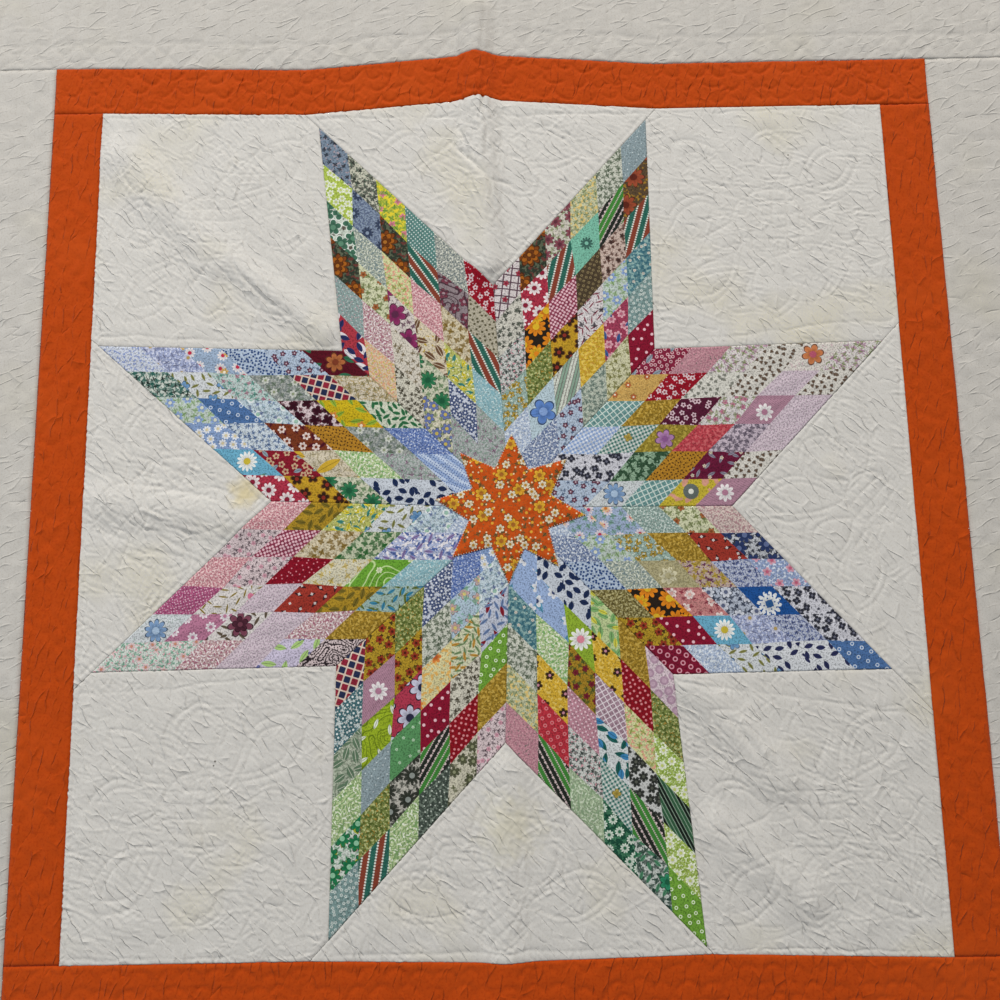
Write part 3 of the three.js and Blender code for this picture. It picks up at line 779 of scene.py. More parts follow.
    "olive_lilac": ("94822e", [specks("b3a044", 5, 0.4), flowers("b07fb0", "8d5a90", 80, 14, 6, 0.0)]),
    "coral": ("b8414c", [specks("cc6468", 5, 0.45)]),
    "lilac_paisley": ("c9bac6", [leaves("6b6070", 8.5, 4.8, 2.1)]),
    "black_cluster": ("d5d5dd", [
        leaves("4a4c5c", 9, 3, 1.2, 0.5), flowers("2a2c3a", "6a6c7c", 15, 5.2, 4, 0.9, 0.85),
    ]),
    "forest_paisley": ("35543c", [leaves("9ab89c", 11.5, 6, 2.8, vein="35543c")]),
    "mustard_dot": ("b8842a", [dots("543616", 5.6, 1.3, 0.4)]),
    "burgundy_leaf": ("6a1838", [leaves("8f8a9a", 17, 7, 2.4), flowers("d9cbb4", None, 22, 3, 5)]),
    "blue_bloom": ("d3d8da", [specks("a9b4b0", 4, 0.2), flowers("7f9ec4", "a9c0d8", 90, 16, 9, 0.0)]),
    "yellow_ring": ("c9b53a", [specks("d49a86", 14, 0.3), flowers("646c68", "e4e4da", 100, 12, 0, 0.0)]),
    "pink_cream": ("d6c4bc", [specks("ac868a", 3.5, 0.45)]),
    "navy_bloom": ("c3c6cc", [leaves("2a3040", 8, 3.6, 1.5), flowers("2b3a66", "5f6c94", 26, 12, 7)]),
    "blue_pink": ("93a4c8", [specks("d3dae6", 4, 0.35), flowers("d9a0b0", "c2607c", 22, 7, 5)]),
    "denim_ring": ("4f73a6", [rings("cbd7e6", "4f73a6", 15, 3.0)]),
    "rust_sprig": ("a2382c", [leaves("4c2226", 17, 7, 2.2, 0.8), flowers("e6dcd8", None, 17, 2.2, 4)]),
    "lavender_navy": ("bcc3d6", [specks("5d6a98", 3, 0.4), leaves("3f4c7c", 9, 3.4, 1.2, 0.7)]),
    "cobalt_rosette": ("1f5296", [
        flowers("e3e6e6", "2f5a8c", 100, 17, 12, 0.0, rim="e3e6e6"), dots("1f5296", 6, 1.2),
    ]),
    "lavender_curl": ("a3add0", [
        specks("d3d8ea", 3.5, 0.4), leaves("7f86a8", 11, 5, 1.4), flowers("c9cce0", "b39a60", 30, 8, 7),
    ]),
    "navy_leaf": ("d9dce0", [leaves("2b3058", 16, 7.5, 3.6, 0.9)]),
    "teal_grey": ("97aca4", [specks("cfdbd4", 3, 0.35), dots("6f8f88", 6, 1.1, 0.5)]),
    "plum_gold": ("c2aca0", [specks("6a3a56", 5, 0.4), leaves("b39a3c", 12, 6, 2.2)]),
    "black_curl": ("b9c1d0", [
        leaves("2e3850", 9, 4.5, 1.8), flowers("d6dae4", "5c6480", 24, 9, 7, rim="2e3444"),
    ]),
    "pink_gold": ("a3b4d0", [
        leaves("6f9a84", 12, 5, 2), flowers("e2d6dc", "b83a5c", 27, 8, 10),
        flowers("e6c49a", "c4742c", 33, 7, 9),
    ]),
    "khaki_ring": ("b3ab84", [flowers("d5cfae", "b3ab84", 90, 14, 7, 0.0), specks("978f68", 4, 0.3)]),
    "coral_white": ("cc8a88", [flowers("ecdcd6", "d9a8a0", 25, 8, 6), leaves("9a4450", 14, 4, 1.7)]),
    "sky_daisy": ("6fb0cc", [
        leaves("6f9a6a", 40, 12, 1.2, 0.9), flowers("f0f2ee", "c9b53c", 100, 16, 13, 0.0),
    ]),
    "blue_olive": ("d6dadc", [leaves("8a8a4c", 14, 7, 2.2), flowers("6f9ac4", "4c78a8", 38, 10, 6)]),
    "pale_blue": ("b9c6d9", [specks("dfe6ec", 4, 0.45), specks("93a5c4", 3, 0.3)]),
    "navy_dots": ("b6c6da", [dots("2f4a7c", 5.4, 1.7, 0.7)]),
    "olive_ditsy": ("857a48", [specks("b4ac7c", 3.5, 0.5), specks("5a502a", 3.5, 0.4)]),
    "gold_red": ("b8962c", [leaves("2f2a18", 12, 3.6, 1.6, 0.7), flowers("9c3a24", "4c1a14", 18, 5.6, 5)]),
    "pink_ring": ("7c1430", [rings("d494a2", "7c1430", 12.5, 3.8)]),
    "blue_daisy": ("8aa3cc", [flowers("eceef0", "d6c8a0", 15, 6.4, 8)]),
    "teal_leaf": ("cfd6cc", [leaves("2f6a5f", 8.5, 6, 2.1), leaves("24302c", 12, 5, 1.2)]),
    "pale_lavender": ("d0d6e2", [specks("8796c2", 4, 0.35)]),
    "crimson_tan": ("8c1a2c", [flowers("cfae8c", "8c1a2c", 15, 5.4, 5), leaves("8fa0ac", 26, 7, 3)]),
    "blue_sprig": ("cfdae2", [leaves("58739f", 8.5, 4, 1.3)]),
    "yellow_leaf": ("d6cbb4", [leaves("b0a480", 10, 6, 1.1), leaves("d0aa36", 60, 22, 7.5, 1.0, 0.0)]),
    "brown_white": ("7c3a20", [leaves("571826", 15, 7, 2.6), flowers("ead7d0", "7c3a20", 19, 6.4, 6)]),
    "pale_sprig": ("c6d6de", [
        leaves("8fa8b4", 9, 4, 1.3), rings("e2e8e8", "9fc4b0", 25, 6, 0.8), leaves("6f80a8", 16, 4, 1.6),
    ]),
    "aqua_sprig": ("bfd0cc", [leaves("5f9a8c", 12, 4.6, 1.6), leaves("b07a8c", 19, 4, 1.8)]),
    "daisy_mix": ("9fb3cc", [
        flowers("e8e2e2", "c2304c", 25, 9, 10), flowers("cfa85c", "efe4cc", 36, 7, 7),
    ]),
    "navy_blot": ("ccd3dc", [leaves("1f2f54", 15, 7.5, 4.2, 0.95)]),
    "pale_green": ("bccf9a", [specks("7aaa66", 4, 0.45), specks("e6ebd6", 3.5, 0.35)]),
    "burgundy_blot": ("dcc9cc", [leaves("5a1a30", 10, 4.5, 2), flowers("3c0c1e", None, 18, 7.5, 4, 0.9)]),
    "grey_mottle": ("a8aca7", [
        specks("7c8482", 4, 0.5), leaves("6a7a68", 12, 5, 2), flowers("d3d6cc", "8f9a78", 22, 6, 6),
    ]),
    "yellow_orange": ("cdb21e", [leaves("8fae3c", 22, 11, 3.4), flowers("d58a3c", "ead9c0", 34, 7, 5)]),
    "red_navy_check": ("96283c", [
        bars(23, parity="26304f"), flowers("dcc8b8", None, 11.5, 2.2, 4, 0.0), bars(11.5, line="dcc8b6"),
    ]),
    "blue_stripe": ("9fb6dc", [bars(13, bar="c3d2e8"), dots("4a64a0", 4, 0.9, 0.3)]),
    "blue_ditsy": ("7c92c4", [specks("4a62a0", 3, 0.5), specks("cad4e8", 3, 0.25)]),
    "green_leaf": ("d3d8c3", [leaves("34744a", 10.5, 7.5, 2.6)]),
    "tan_curl": ("d6cbb6", [
        curls("a89c76", 30, 0.08), leaves("8f8458", 11, 5, 1.6), specks("b09a6c", 3.5, 0.25),
    ]),
    "burgundy_rose": ("5a0f20", [leaves("2f6a4c", 34, 12, 5), flowers("b0683c", "7c3a24", 70, 15, 7, 0.0)]),
    "black_paisley": ("d8c6c6", [curls("241a20", 24, 0.16), dots("241a20", 4, 1.0, 0.5)]),
    "lilac_lime": ("cfc6dc", [leaves("a9c97c", 24, 12, 4.4), flowers("6f74ae", "9ca0cc", 38, 6, 5)]),
    "mint_lace": ("d6dcd4", [
        leaves("84b49c", 9, 4.5, 1.6), specks("d4a2aa", 4, 0.25), flowers("e2c4c4", "c98a70", 26, 6, 6),
    ]),
    "orchid_ring": ("b97a96", [flowers("ece2e6", "b97a96", 25, 8, 8, 0.5)]),
    "teal_olive": ("9fb8b0", [leaves("6a7a3c", 13, 8, 2.2), leaves("3f8aac", 15, 7, 2.4)]),
    "bramble_fruit": ("dcd6d2", [
        leaves("6a5c4c", 15, 8, 2.2), flowers("7c4456", "5a2a3c", 70, 18, 7, 0.0),
        flowers("4a2230", "6a3a48", 70, 11, 5, 0.0),
    ]),
    "rose_bud": ("dcd6d2", [leaves("a08a3c", 14, 8, 1.3), flowers("d27a94", "e6b0bc", 46, 14, 5)]),
    "magenta_tiny": ("b05a80", [dots("dcb3c4", 4.2, 1.0, 0.5), specks("8f3f68", 3, 0.3)]),
    "bright_petal": ("6fa838", [curls("cfe4a6", 60, 0.07), flowers("dfe8c0", None, 50, 5, 6, 0.0)]),
    "cream_gold": ("d8d2b8", [leaves("c4ac58", 18, 6, 1.8)]),
    "crimson_fine": ("8a0f24", [dots("dc8a96", 8, 1.1, 0.8)]),
    "pink_sprig": ("dac8ca", [leaves("5c4a54", 8.5, 4, 0.9, 0.8), flowers("d9a0b0", None, 17, 3.6, 5)]),
    "blue_lilac": ("b3bcd9", [
        leaves("5f74b0", 13, 8, 2.6), specks("ece8ea", 5, 0.4), leaves("8f7fb0", 19, 8, 2.4),
    ]),
    "dark_leaf": ("c3c9ac", [leaves("2f6a34", 10, 6, 2.6)]),
    "mustard_leaf": ("b08e2a", [leaves("766624", 15, 9, 3.6)]),
    "olive_leaf": ("cdc9b4", [
        leaves("77795c", 11, 4.5, 1.6, 0.8), flowers("55593f", "8c9070", 19, 7, 6, 0.9, 0.9),
    ]),
    "grey_green": ("434e46", [specks("6f7c70", 4, 0.45), dots("c3ccc0", 8, 1.1, 0.5)]),
    "green_curl": ("b9cc98", [curls("7c9f66", 20, 0.2), specks("e4ead6", 4, 0.3)]),
    "red_drop": ("8f1220", [dots("dc8c90", 7.5, 1.7, 0.4)]),
    "grey_rings": ("bdbab0", [leaves("55584f", 9, 5, 2), flowers("33372f", "8f9690", 27, 12, 11, 0.6)]),
    "emerald_mix": ("d4dcd2", [
        leaves("5c9a70", 10, 5, 1.8), leaves("b890bc", 23, 10, 5), leaves("a9b43c", 21, 9, 4.4),
        flowers("1f7a4c", "8fc4a0", 25, 11, 7),
    ]),
    "grass_square": ("74a53c", [rings("e6efd4", "74a53c", 13, 2.6, 0.3)]),
    "green_tiny": ("5c9660", [flowers("bcd8b8", None, 17, 2.4, 5)]),
    "burgundy_blue": ("c3c9d8", [leaves("8a2030", 26, 9, 3), leaves("6f86b0", 13, 8, 2.2)]),
    "stalks": ("d3d4b4", [leaves("7f9a6c", 10, 9, 1.8), leaves("cc9a44", 17, 8, 2)]),
    "orange_bloom": ("ddd4a0", [specks("e0b060", 6, 0.4), flowers("d8803c", "b85a2c", 36, 9, 6)]),
    "red_big_daisy": ("b03a50", [flowers("c9c9dc", "2a2a44", 40, 18, 7, 0.4, rim="2a2434")]),
    "lime_outline": ("9cb428", [curls("5f7418", 34, 0.09), leaves("e2e8d8", 26, 8, 2.6)]),
    "leaf_grey": ("b8c0ac", [leaves("8c9a84", 8, 5, 1.8), leaves("5f785f", 17, 11, 4.6, vein="c9ccba")]),
    "pastel_blue": ("b6cad9", [flowers("c9a9a4", "dcc878", 25, 8, 6), leaves("7fb096", 17, 6, 2.4)]),
    "teal_petals": ("cdd6d4", [specks("6f9096", 3, 0.3), flowers("3f6c74", "dfe6e4", 10.5, 4.8, 6)]),
    "mauve_ring": ("d9c6cd", [rings("b091a4", "c3a6b6", 16, 6.5, 0.2)]),
    "lime_curl": ("a9c062", [
        specks("87a23c", 4, 0.4), specks("e2ecc8", 3, 0.3), flowers("eef2dc", "c3d070", 18, 6.5, 7),
    ]),
    "dark_bars": ("18221c", [bars(19, bar="335c40"), bars(9.5, beads="9fb8a2")]),
    "black_floral": ("cfd0cd", [flowers("30332f", "55584f", 15, 6.6, 6)]),
    "emerald_leaf": ("c9d0c9", [
        leaves("24463a", 9, 5.5, 2.4), leaves("4f8a68", 15, 7, 2.6),
        flowers("2f8a64", "1f5f44", 44, 11, 6, 0.5),
    ]),
    "lime_leaf": ("c3d29a", [leaves("7fae6c", 15, 10, 4), leaves("d3d050", 22, 8, 3)]),
    "yellow_black": ("d9b03a", [specks("e4c66a", 5, 0.3), flowers("38261c", "c98a9a", 26, 6, 5, 0.8)]),
    "mauve_lattice": ("a88a98", [bars(7.5, line="e4dade")]),
    "teal_blue_leaf": ("d6dcdc", [leaves("1f5f58", 19, 11, 4), leaves("3f84b4", 26, 9, 4.4)]),
    "green_white": ("1c4f3c", [
        leaves("4f8a68", 9, 5, 1.6), flowers("d6e2d4", "2f6a4c", 18, 7, 10, 0.7, 0.9),
    ]),
    "lime_big_daisy": ("93b236", [flowers("f0f0ea", "e08a9c", 100, 17, 11, 0.0)]),
    "mustard_posy": ("a88428", [leaves("55602a", 11, 4.6, 1.8), flowers("7c2230", None, 18, 4.4, 5)]),
    "dusty_dot": ("bf8b99", [dots("e6cbd1", 6.2, 1.3, 0.2)]),
    "sage_curl": ("adbf9e", [curls("8aa380", 24, 0.2), specks("ccd8c0", 4, 0.3)]),
    "blue_swirl": ("9fb6dc", [leaves("5f9ab8", 40, 22, 6), flowers("e2e4e8", "38446c", 34, 10, 6)]),
    "coral_ring": ("bb3440", [rings("d98488", "bb3440", 11, 2.8)]),
}

# Which scrap each diamond is cut from, for each point. A row runs from the middle of the star towards the
# corner before the point, and the rows follow each other towards the corner after it. The first few of
# each point lie under the sewn-on star.
POINT_SCRAPS = {
    "top_left": """
        grey_floral grey_floral turquoise_mist brown_teal_bar taupe_dot red_bandana
        grey_floral navy_cluster lime_teal gold_leaf outline_mauve grey_tiny
        blue_gold emerald_flower brown_leaf pink_ditsy brown_teal_bar teal_pin
        brown_clump brown_sprig plum_flower lemon_pink rust_rose lime_pink
        peach_ditsy mauve_ditsy rust_leaf_cream sage_ditsy slate_round black_leaf
        red_navy_leaf teal_mist rust_rose petal_green lime_daisy slate_sprig""",
    "top_right": """
        blue_tiny blue_tiny blue_burgundy sage_tiny lemon_olive crimson_dot
        pale_blue cobalt_blot plaid_burgundy yellow_tone rose_blue teal_floral
        mustard_teal olive_mottle gold_dark burgundy_line pale_garden teal_mottle
        white_leaf orange_black pink_drop brown_tan brown_flower brown_teal_bar
        black_sprig red_daisy brown_teal_bar mint_sprig green_band rust_gold
        lattice_cream rust_rose burgundy_posy lemon_sage grey_leaf slate_pin""",
    "right_up": """
        blue_burgundy blue_burgundy blue_bloom teal_lattice yellow_ring mauve_daisy
        black_cluster black_cluster forest_paisley mustard_dot burgundy_leaf brown_clover
        blue_gingham green_gingham olive_lilac coral lilac_paisley lilac_tiny
        teal_lattice mustard burgundy_white pink_bud mauve_daisy lilac_tiny
        tan_bud red_bandana pale_clover brown_clover lilac_tiny brown_clover
        burgundy_ring dusty_fine mauve_stem brown_clover coral_bloom mauve_stem""",
    "right_low": """
        pale_blue blue_tiny navy_dots olive_ditsy gold_red pink_ring
        pink_gold pale_garden sage_ditsy orange_black crimson_dot pale_blue
        pink_gold mustard_teal khaki_ring coral_white sky_daisy blue_olive
        teal_grey mustard plum_gold black_curl lavender_curl navy_leaf
        rust_leaf_cream rust_sprig lavender_navy cobalt_rosette lavender_navy navy_leaf
        pink_cream navy_bloom blue_pink black_cluster black_cluster denim_ring""",
    "left_up": """
        blue_stripe blue_stripe blue_ditsy green_leaf tan_curl burgundy_rose
        navy_blot grey_floral grey_mottle yellow_orange red_navy_check blue_burgundy
        navy_blot pale_green mustard_dot burgundy_blot grey_mottle navy_dots
        emerald_flower yellow_leaf brown_white pale_sprig aqua_sprig daisy_mix
        gold_dark crimson_tan blue_sprig denim_ring blue_olive lavender_curl
        red_daisy sky_daisy blue_daisy pale_garden teal_leaf pale_lavender""",
    "left_low": """
        pale_blue pale_sprig blue_olive lime_teal mustard_leaf pink_ditsy
        blue_lilac blue_lilac dark_leaf gold_leaf pink_drop pink_sprig
        turquoise_mist bright_petal cream_gold crimson_fine pink_sprig pink_ditsy
        teal_olive mustard_leaf rust_sprig lilac_tiny rose_bud magenta_tiny
        mustard mauve_ditsy lilac_tiny bramble_fruit orchid_ring blue_bloom
        black_paisley lilac_lime lilac_tiny mauve_ditsy mint_lace mint_lace""",
    "low_left": """
        blue_daisy blue_ditsy navy_cluster olive_mottle gold_red red_navy_check
        pale_sprig pastel_blue grey_leaf gold_red mauve_daisy teal_petals
        burgundy_blue stalks orange_bloom red_big_daisy lime_outline leaf_grey
        grass_square brown_clump crimson_dot green_tiny slate_pin green_curl
        mustard red_drop green_band grey_rings olive_mottle emerald_mix
        pink_sprig olive_leaf grey_green green_curl brown_teal_bar teal_floral""",
    "low_right": """
        blue_swirl blue_swirl teal_mottle grey_leaf lemon_sage dusty_fine
        navy_blot blue_swirl pale_green yellow_black coral_ring green_band
        navy_blot lime_big_daisy mustard_posy dusty_dot white_leaf sage_curl
        lime_leaf yellow_black mauve_lattice teal_blue_leaf green_gingham green_white
        mustard red_drop lemon_pink black_floral green_band emerald_leaf
        mauve_ring olive_mottle lime_curl dark_bars lime_curl grass_square""",
}

scrap_cloth = {}
for name, (ground, layers) in SCRAPS.items():
    filled = [specks(deeper(ground, 0.8), 2.6, 0.4)] + layers
    scrap_cloth[name] = cotton("scrap_" + name, ground, filled, grain=0.5, creased=0.45)

# Cream ground cloth, used for the squares and triangles, with the yellowing of old cotton.
stain_tree, given, result = new_group("old_stains", "Cloth Least", "Stain")
past = minus(noise(given["Cloth"], 5.0, 4.0)[0], given["Least"])
joined(times(past, 4.0, clamp=True), result["Stain"])

spot_tree, given, result = new_group("single_spot", "Cloth Place Reach", "Spot")
away = placed(spot_tree, "VectorMath", {0: given["Cloth"], 1: given["Place"]}, operation="DISTANCE")["Value"]
ragged = plus(noise(given["Cloth"], 60.0, 2.0)[0], 0.5)
joined(times(minus(ragged, divided(away, given["Reach"])), 1.2, clamp=True), result["Spot"])


def stains(colour, least):
    return stamped(stain_tree, "Stain", colour, Least=least)


def spot(colour, x, y, reach):
    return stamped(spot_tree, "Spot", colour, Place=(x * MM, y * MM, 0), Reach=reach * MM)


cream_cloth = cotton("cream_cotton", "d9d6d0", [
    stains("d8d2bf", 0.56), specks("d3cfc8", 3, 0.3),
    spot("d8cba6", -388, 26, 32), spot("d9d4c3", 10, -470, 60),
    spot("4a4640", -422, -372, 2.2), spot("4a4640", -424, -378, 1.5), spot("6a6258", 480, 564, 1.8),
], grain=0.1, creased=1.2)

PATCH_STEPS = 16
PATCH_WANDER = 1.5 * MM
PRINT_SHIFT = 4 * MM
STITCH_INSIDE = 5.5 * MM
CLEAR_REACH = 104 * MM
CLEAR_FADE = 30 * MM


def inset_ring(corners, depth):
    """The line that runs a little inside the seams of a patch."""
    ring = []
    count = len(corners)
    middle = np.mean(corners, axis=0)
    for step in range(count):
        before, here, after = corners[step - 1], corners[step], corners[(step + 1) % count]
        one = (here - before) / np.linalg.norm(here - before)
        two = (after - here) / np.linalg.norm(after - here)
        inward = np.array([-(one + two)[1], (one + two)[0]])
        inward = inward / np.linalg.norm(inward)
        if inward @ (middle - here) < 0:
            inward = -inward
        slant = abs(one[0] * inward[1] - one[1] * inward[0])
        ring.append(here + inward * depth / max(slant, 0.3))
    return np.array(ring + ring[:1])


for point, name in enumerate(POINT_NAMES):
    random = np.random.default_rng(100 + point)
    near, far, tip = inner_corners[point], inner_corners[(point + 1) % 8], tips[point]
    share = np.linspace(0, 1, PATCHES + 1)
    v, u = np.meshgrid(share, share, indexing="ij")
    ends = [((1 - u) * (1 - v), STAR_CENTRE), (u * (1 - v), near), (u * v, tip), ((1 - u) * v, far)]
    lattice = sum(weight[..., None] * place for weight, place in ends)
    wander = random.normal(0, PATCH_WANDER, lattice.shape)
    wander[[0, -1]] = 0
    wander[:, [0, -1]] = 0
    lattice = lattice + wander
    step = np.arange(PATCHES * PATCH_STEPS + 1) / PATCH_STEPS
    patch = np.minimum(step.astype(int), PATCHES - 1)
    part = step - patch
    row_low, row_part = patch[:, None], part[:, None, None]
    column_low, column_part = patch[None, :], part[None, :, None]
    place = (
        lattice[row_low, column_low] * (1 - row_part) * (1 - column_part)
        + lattice[row_low, column_low + 1] * (1 - row_part) * column_part
        + lattice[row_low + 1, column_low] * row_part * (1 - column_part)
        + lattice[row_low + 1, column_low + 1] * row_part * column_part
    )
    seams = [*lattice, *lattice.transpose(1, 0, 2)]
    outlines = []
    for row in range(PATCHES):
        for column in range(PATCHES):
            corners = np.array([
                lattice[row, column], lattice[row, column + 1],
                lattice[row + 1, column + 1], lattice[row + 1, column],
            ])
            if np.linalg.norm(corners.mean(axis=0) - STAR_CENTRE) > CLEAR_REACH:
                outlines.append(inset_ring(corners, STITCH_INSIDE))
    clear = np.clip((np.linalg.norm(place - STAR_CENTRE, axis=2) - CLEAR_REACH) / CLEAR_FADE, 0, 1)
    ground = quilted_ground(
        place, seams, outlines, seed=point, loft=1.6 * MM, rise=6 * MM, groove=0.3 * MM, pucker=0.25 * MM,
        seam_pucker=0.4 * MM, stray=0.06, uneven=0.4 * MM,
    )
    height = SEWN_HIGH + (height_on(ground, place) - SEWN_HIGH) * clear
    names = POINT_SCRAPS[name].split()
    used = sorted(set(names))
    axis = math.atan2(*(tip - STAR_CENTRE)[::-1])
    turns = axis + random.normal(0, 0.12, PATCHES ** 2)
    shifts = random.uniform(-1, 1, (PATCHES ** 2, 2))

    def patch_number(row, column):
        return (row // PATCH_STEPS) * PATCHES + column // PATCH_STEPS

    def patch_cloth(row, column, places):
        """The lie of a scrap's print: roughly along the point, and a little different in each diamond."""
        number = patch_number(row, column)
        turn = turns[number]
        row, column = row // PATCH_STEPS, column // PATCH_STEPS
        off = places - lattice[row:row + 2, column:column + 2].mean(axis=(0, 1))
        spun = np.stack([
            off[:, 0] * math.cos(turn) + off[:, 1] * math.sin(turn),
            off[:, 1] * math.cos(turn) - off[:, 0] * math.sin(turn),
        ], axis=1)
        return spun + shifts[number] * PRINT_SHIFT

    def patch_material(row, column):
        return used.index(names[patch_number(row, column)])

    panel = cloth_object(
        "pieced_point_" + name, place, height, [scrap_cloth[scrap] for scrap in used] + [cream_cloth],
        patch_cloth, patch_material,
    )
    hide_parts("star_point_" + name)
    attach(panel, "root")

# The four squares in the corners of the ground, cream cotton set in between the points. Each is quilted with
# a flower: a woven centre, eight double-lined petals, and a line that echoes the seams.

GROUND_CORNERS = [np.array(signs) * BLOCK_HALF for signs in ((1, 1), (-1, 1), (-1, -1), (1, -1))]
GROUND_CORNERS[1] = GROUND_CORNERS[1] + np.array([0, 9 * MM])
GROUND_CORNERS[3] = GROUND_CORNERS[3] - np.array([0, 10 * MM])
SIDE_MIDDLES = [(0, 0), (-22, 22), (0, 0), (-9, -6)]
CORNER_NAMES = ["top_right", "top_left", "low_left", "low_right"]
SIDE_NAMES = ["right", "top", "left", "bottom"]
ground_sides = []
for quarter in range(4):
    upright = quarter % 2
    outward = 1 if quarter < 2 else -1
    reach = outward * BLOCK_HALF[upright]
    apex = inner_corners[quarter * 2]
    seam_ends = [
        apex + (tip - apex) * (reach - apex[upright]) / (tip[upright] - apex[upright])
        for tip in (tips[(quarter * 2 + 7) % 8], tips[quarter * 2])
    ]
    middle = np.array([0.0, 0.0])
    middle[upright] = reach
    middle = middle + np.array(SIDE_MIDDLES[quarter]) * MM
    corners = [GROUND_CORNERS[(quarter + 3) % 4], GROUND_CORNERS[quarter]]
    ground_sides.append({
        "name": SIDE_NAMES[quarter], "upright": upright, "outward": outward, "apex": apex,
        "seam_ends": seam_ends, "middle": middle,
        "line": [corners[0], seam_ends[0], middle, seam_ends[1], corners[1]],
    })

SQUARE_STEPS = 210
TIP_STEPS = SQUARE_STEPS // 14
ECHO_INSIDE = 8 * MM
WOVEN_REACH = 58 * MM
WOVEN_PITCH = 20 * MM
WOVEN_TURN = 0.04
LONG_PETAL, LONG_PETAL_WIDE = 205 * MM, 36 * MM
SHORT_PETAL, SHORT_PETAL_WIDE = 150 * MM, 30 * MM
PETAL_ECHO = 11 * MM
SQUARE_LEAN = [165, 130, 150, 134]
SQUARE_STRAY = [0.45, 0.8, 0.75, 0.8]
STITCH_PITCH = 5 * MM
quilting_on = {}


def petal(centre, angle, start, end, width, offset=0.0):
    """Both sides of a pointed petal, or the line that follows them outside at an offset."""
    share = np.linspace(0, 1, 24)
    out = start + (end + offset - start) * share
    aside = (width + offset) * np.sin(np.pi * share ** 1.25) ** 0.8
    along = np.concatenate([out, out[::-1]])
    across = np.concatenate([aside, -aside[::-1]])
    run = np.array([math.cos(angle), math.sin(angle)])
    line = centre + along[:, None] * run + across[:, None] * np.array([-run[1], run[0]])
    return line[8:-8] if offset else line


def woven_centre(centre, reach, pitch, turn):
    """The crossing lines that fill a flower's round middle."""
    lines = []
    for off in np.arange(-reach + pitch / 2, reach, pitch):
        half = math.sqrt(max(reach ** 2 - off ** 2, 0))
        for flip in (0, math.pi / 2):
            run = np.array([math.cos(turn + flip), math.sin(turn + flip)])
            cross = np.array([-run[1], run[0]])
            lines.append(np.array([centre + cross * off - run * half, centre + cross * off + run * half]))
    ring = np.linspace(0, 2 * math.pi, 40)
    lines.append(centre + reach * np.stack([np.cos(ring), np.sin(ring)], axis=1))
    return lines


def line_along(points, counts):
    """Places along a bent line, with a number of steps for each stretch."""
    places = [np.asarray(points[0], float)[None]]
    for start, end, count in zip(points[:-1], points[1:], counts):
        share = np.arange(1, count + 1)[:, None] / count
        places.append(np.asarray(start) + (np.asarray(end) - np.asarray(start)) * share)
    return np.concatenate(places)


for quarter, name in enumerate(CORNER_NAMES):
    inner, corner = inner_corners[quarter * 2 + 1], GROUND_CORNERS[quarter]
    right_tip, up_tip = tips[quarter * 2], tips[quarter * 2 + 1]
    right_end = ground_sides[quarter]["seam_ends"][1]
    up_end = ground_sides[(quarter + 1) % 4]["seam_ends"][0]
    right_edge = line_along([inner, right_tip, right_end], [SQUARE_STEPS - TIP_STEPS, TIP_STEPS])
    up_edge = line_along([inner, up_tip, up_end], [SQUARE_STEPS - TIP_STEPS, TIP_STEPS])
    u = np.linspace(0, 1, SQUARE_STEPS + 1)[None, :, None]
    v = np.linspace(0, 1, SQUARE_STEPS + 1)[:, None, None]
    ruled = right_edge[None] * (1 - v) + (up_end * (1 - u) + corner * u) * v
    crossed = up_edge[:, None] * (1 - u) + (right_end * (1 - v) + corner * v) * u
    level = (inner * (1 - u) + right_end * u) * (1 - v) + (up_end * (1 - u) + corner * u) * v
    place = ruled + crossed - level
    centre = place[SQUARE_STEPS // 2, SQUARE_STEPS // 2]
    outline = np.array([inner, right_tip, right_end, corner, up_end, up_tip])
    random = np.random.default_rng(40 + quarter)
    design = woven_centre(centre, WOVEN_REACH, WOVEN_PITCH, WOVEN_TURN)
    for eighth in range(8):
        angle = eighth * math.pi / 4 + random.normal(0, 0.05)
        if eighth % 2:
            design.append(petal(centre, angle, WOVEN_REACH, LONG_PETAL, LONG_PETAL_WIDE))
            design.append(petal(
                centre, angle, WOVEN_REACH + 22 * MM, LONG_PETAL - 26 * MM, LONG_PETAL_WIDE - 13 * MM,
            ))
        else:
            design.append(petal(centre, angle, WOVEN_REACH, SHORT_PETAL, SHORT_PETAL_WIDE))
            design.append(petal(centre, angle, WOVEN_REACH, SHORT_PETAL, SHORT_PETAL_WIDE, PETAL_ECHO))
    echo = inset_ring(np.array([inner, right_end, corner, up_end]), ECHO_INSIDE)
    quilting = [hand_drawn(line) for line in design + [echo]]
    ground = quilted_ground(
        place, [np.concatenate([outline, outline[:1]])], quilting, seed=20 + quarter, loft=0.6 * MM,
        rise=4 * MM, groove=0.9 * MM, pucker=1.3 * MM, seam_pucker=2.2 * MM, stray=SQUARE_STRAY[quarter],
        uneven=0.6 * MM, lean=SQUARE_LEAN[quarter],
    )
    panel = cloth_object("cream_square_" + name, place, height_on(ground, place), [cream_cloth])
    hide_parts("corner_square_" + name)
    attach(panel, "root")
    quilting_on[panel.name] = ground, quilting, STITCH_PITCH

# The four triangles between the points, cream cotton with their apex at the inner corner of two points. Each
# is quilted with half a flower that stands on the outer side, and lines that echo its seams.

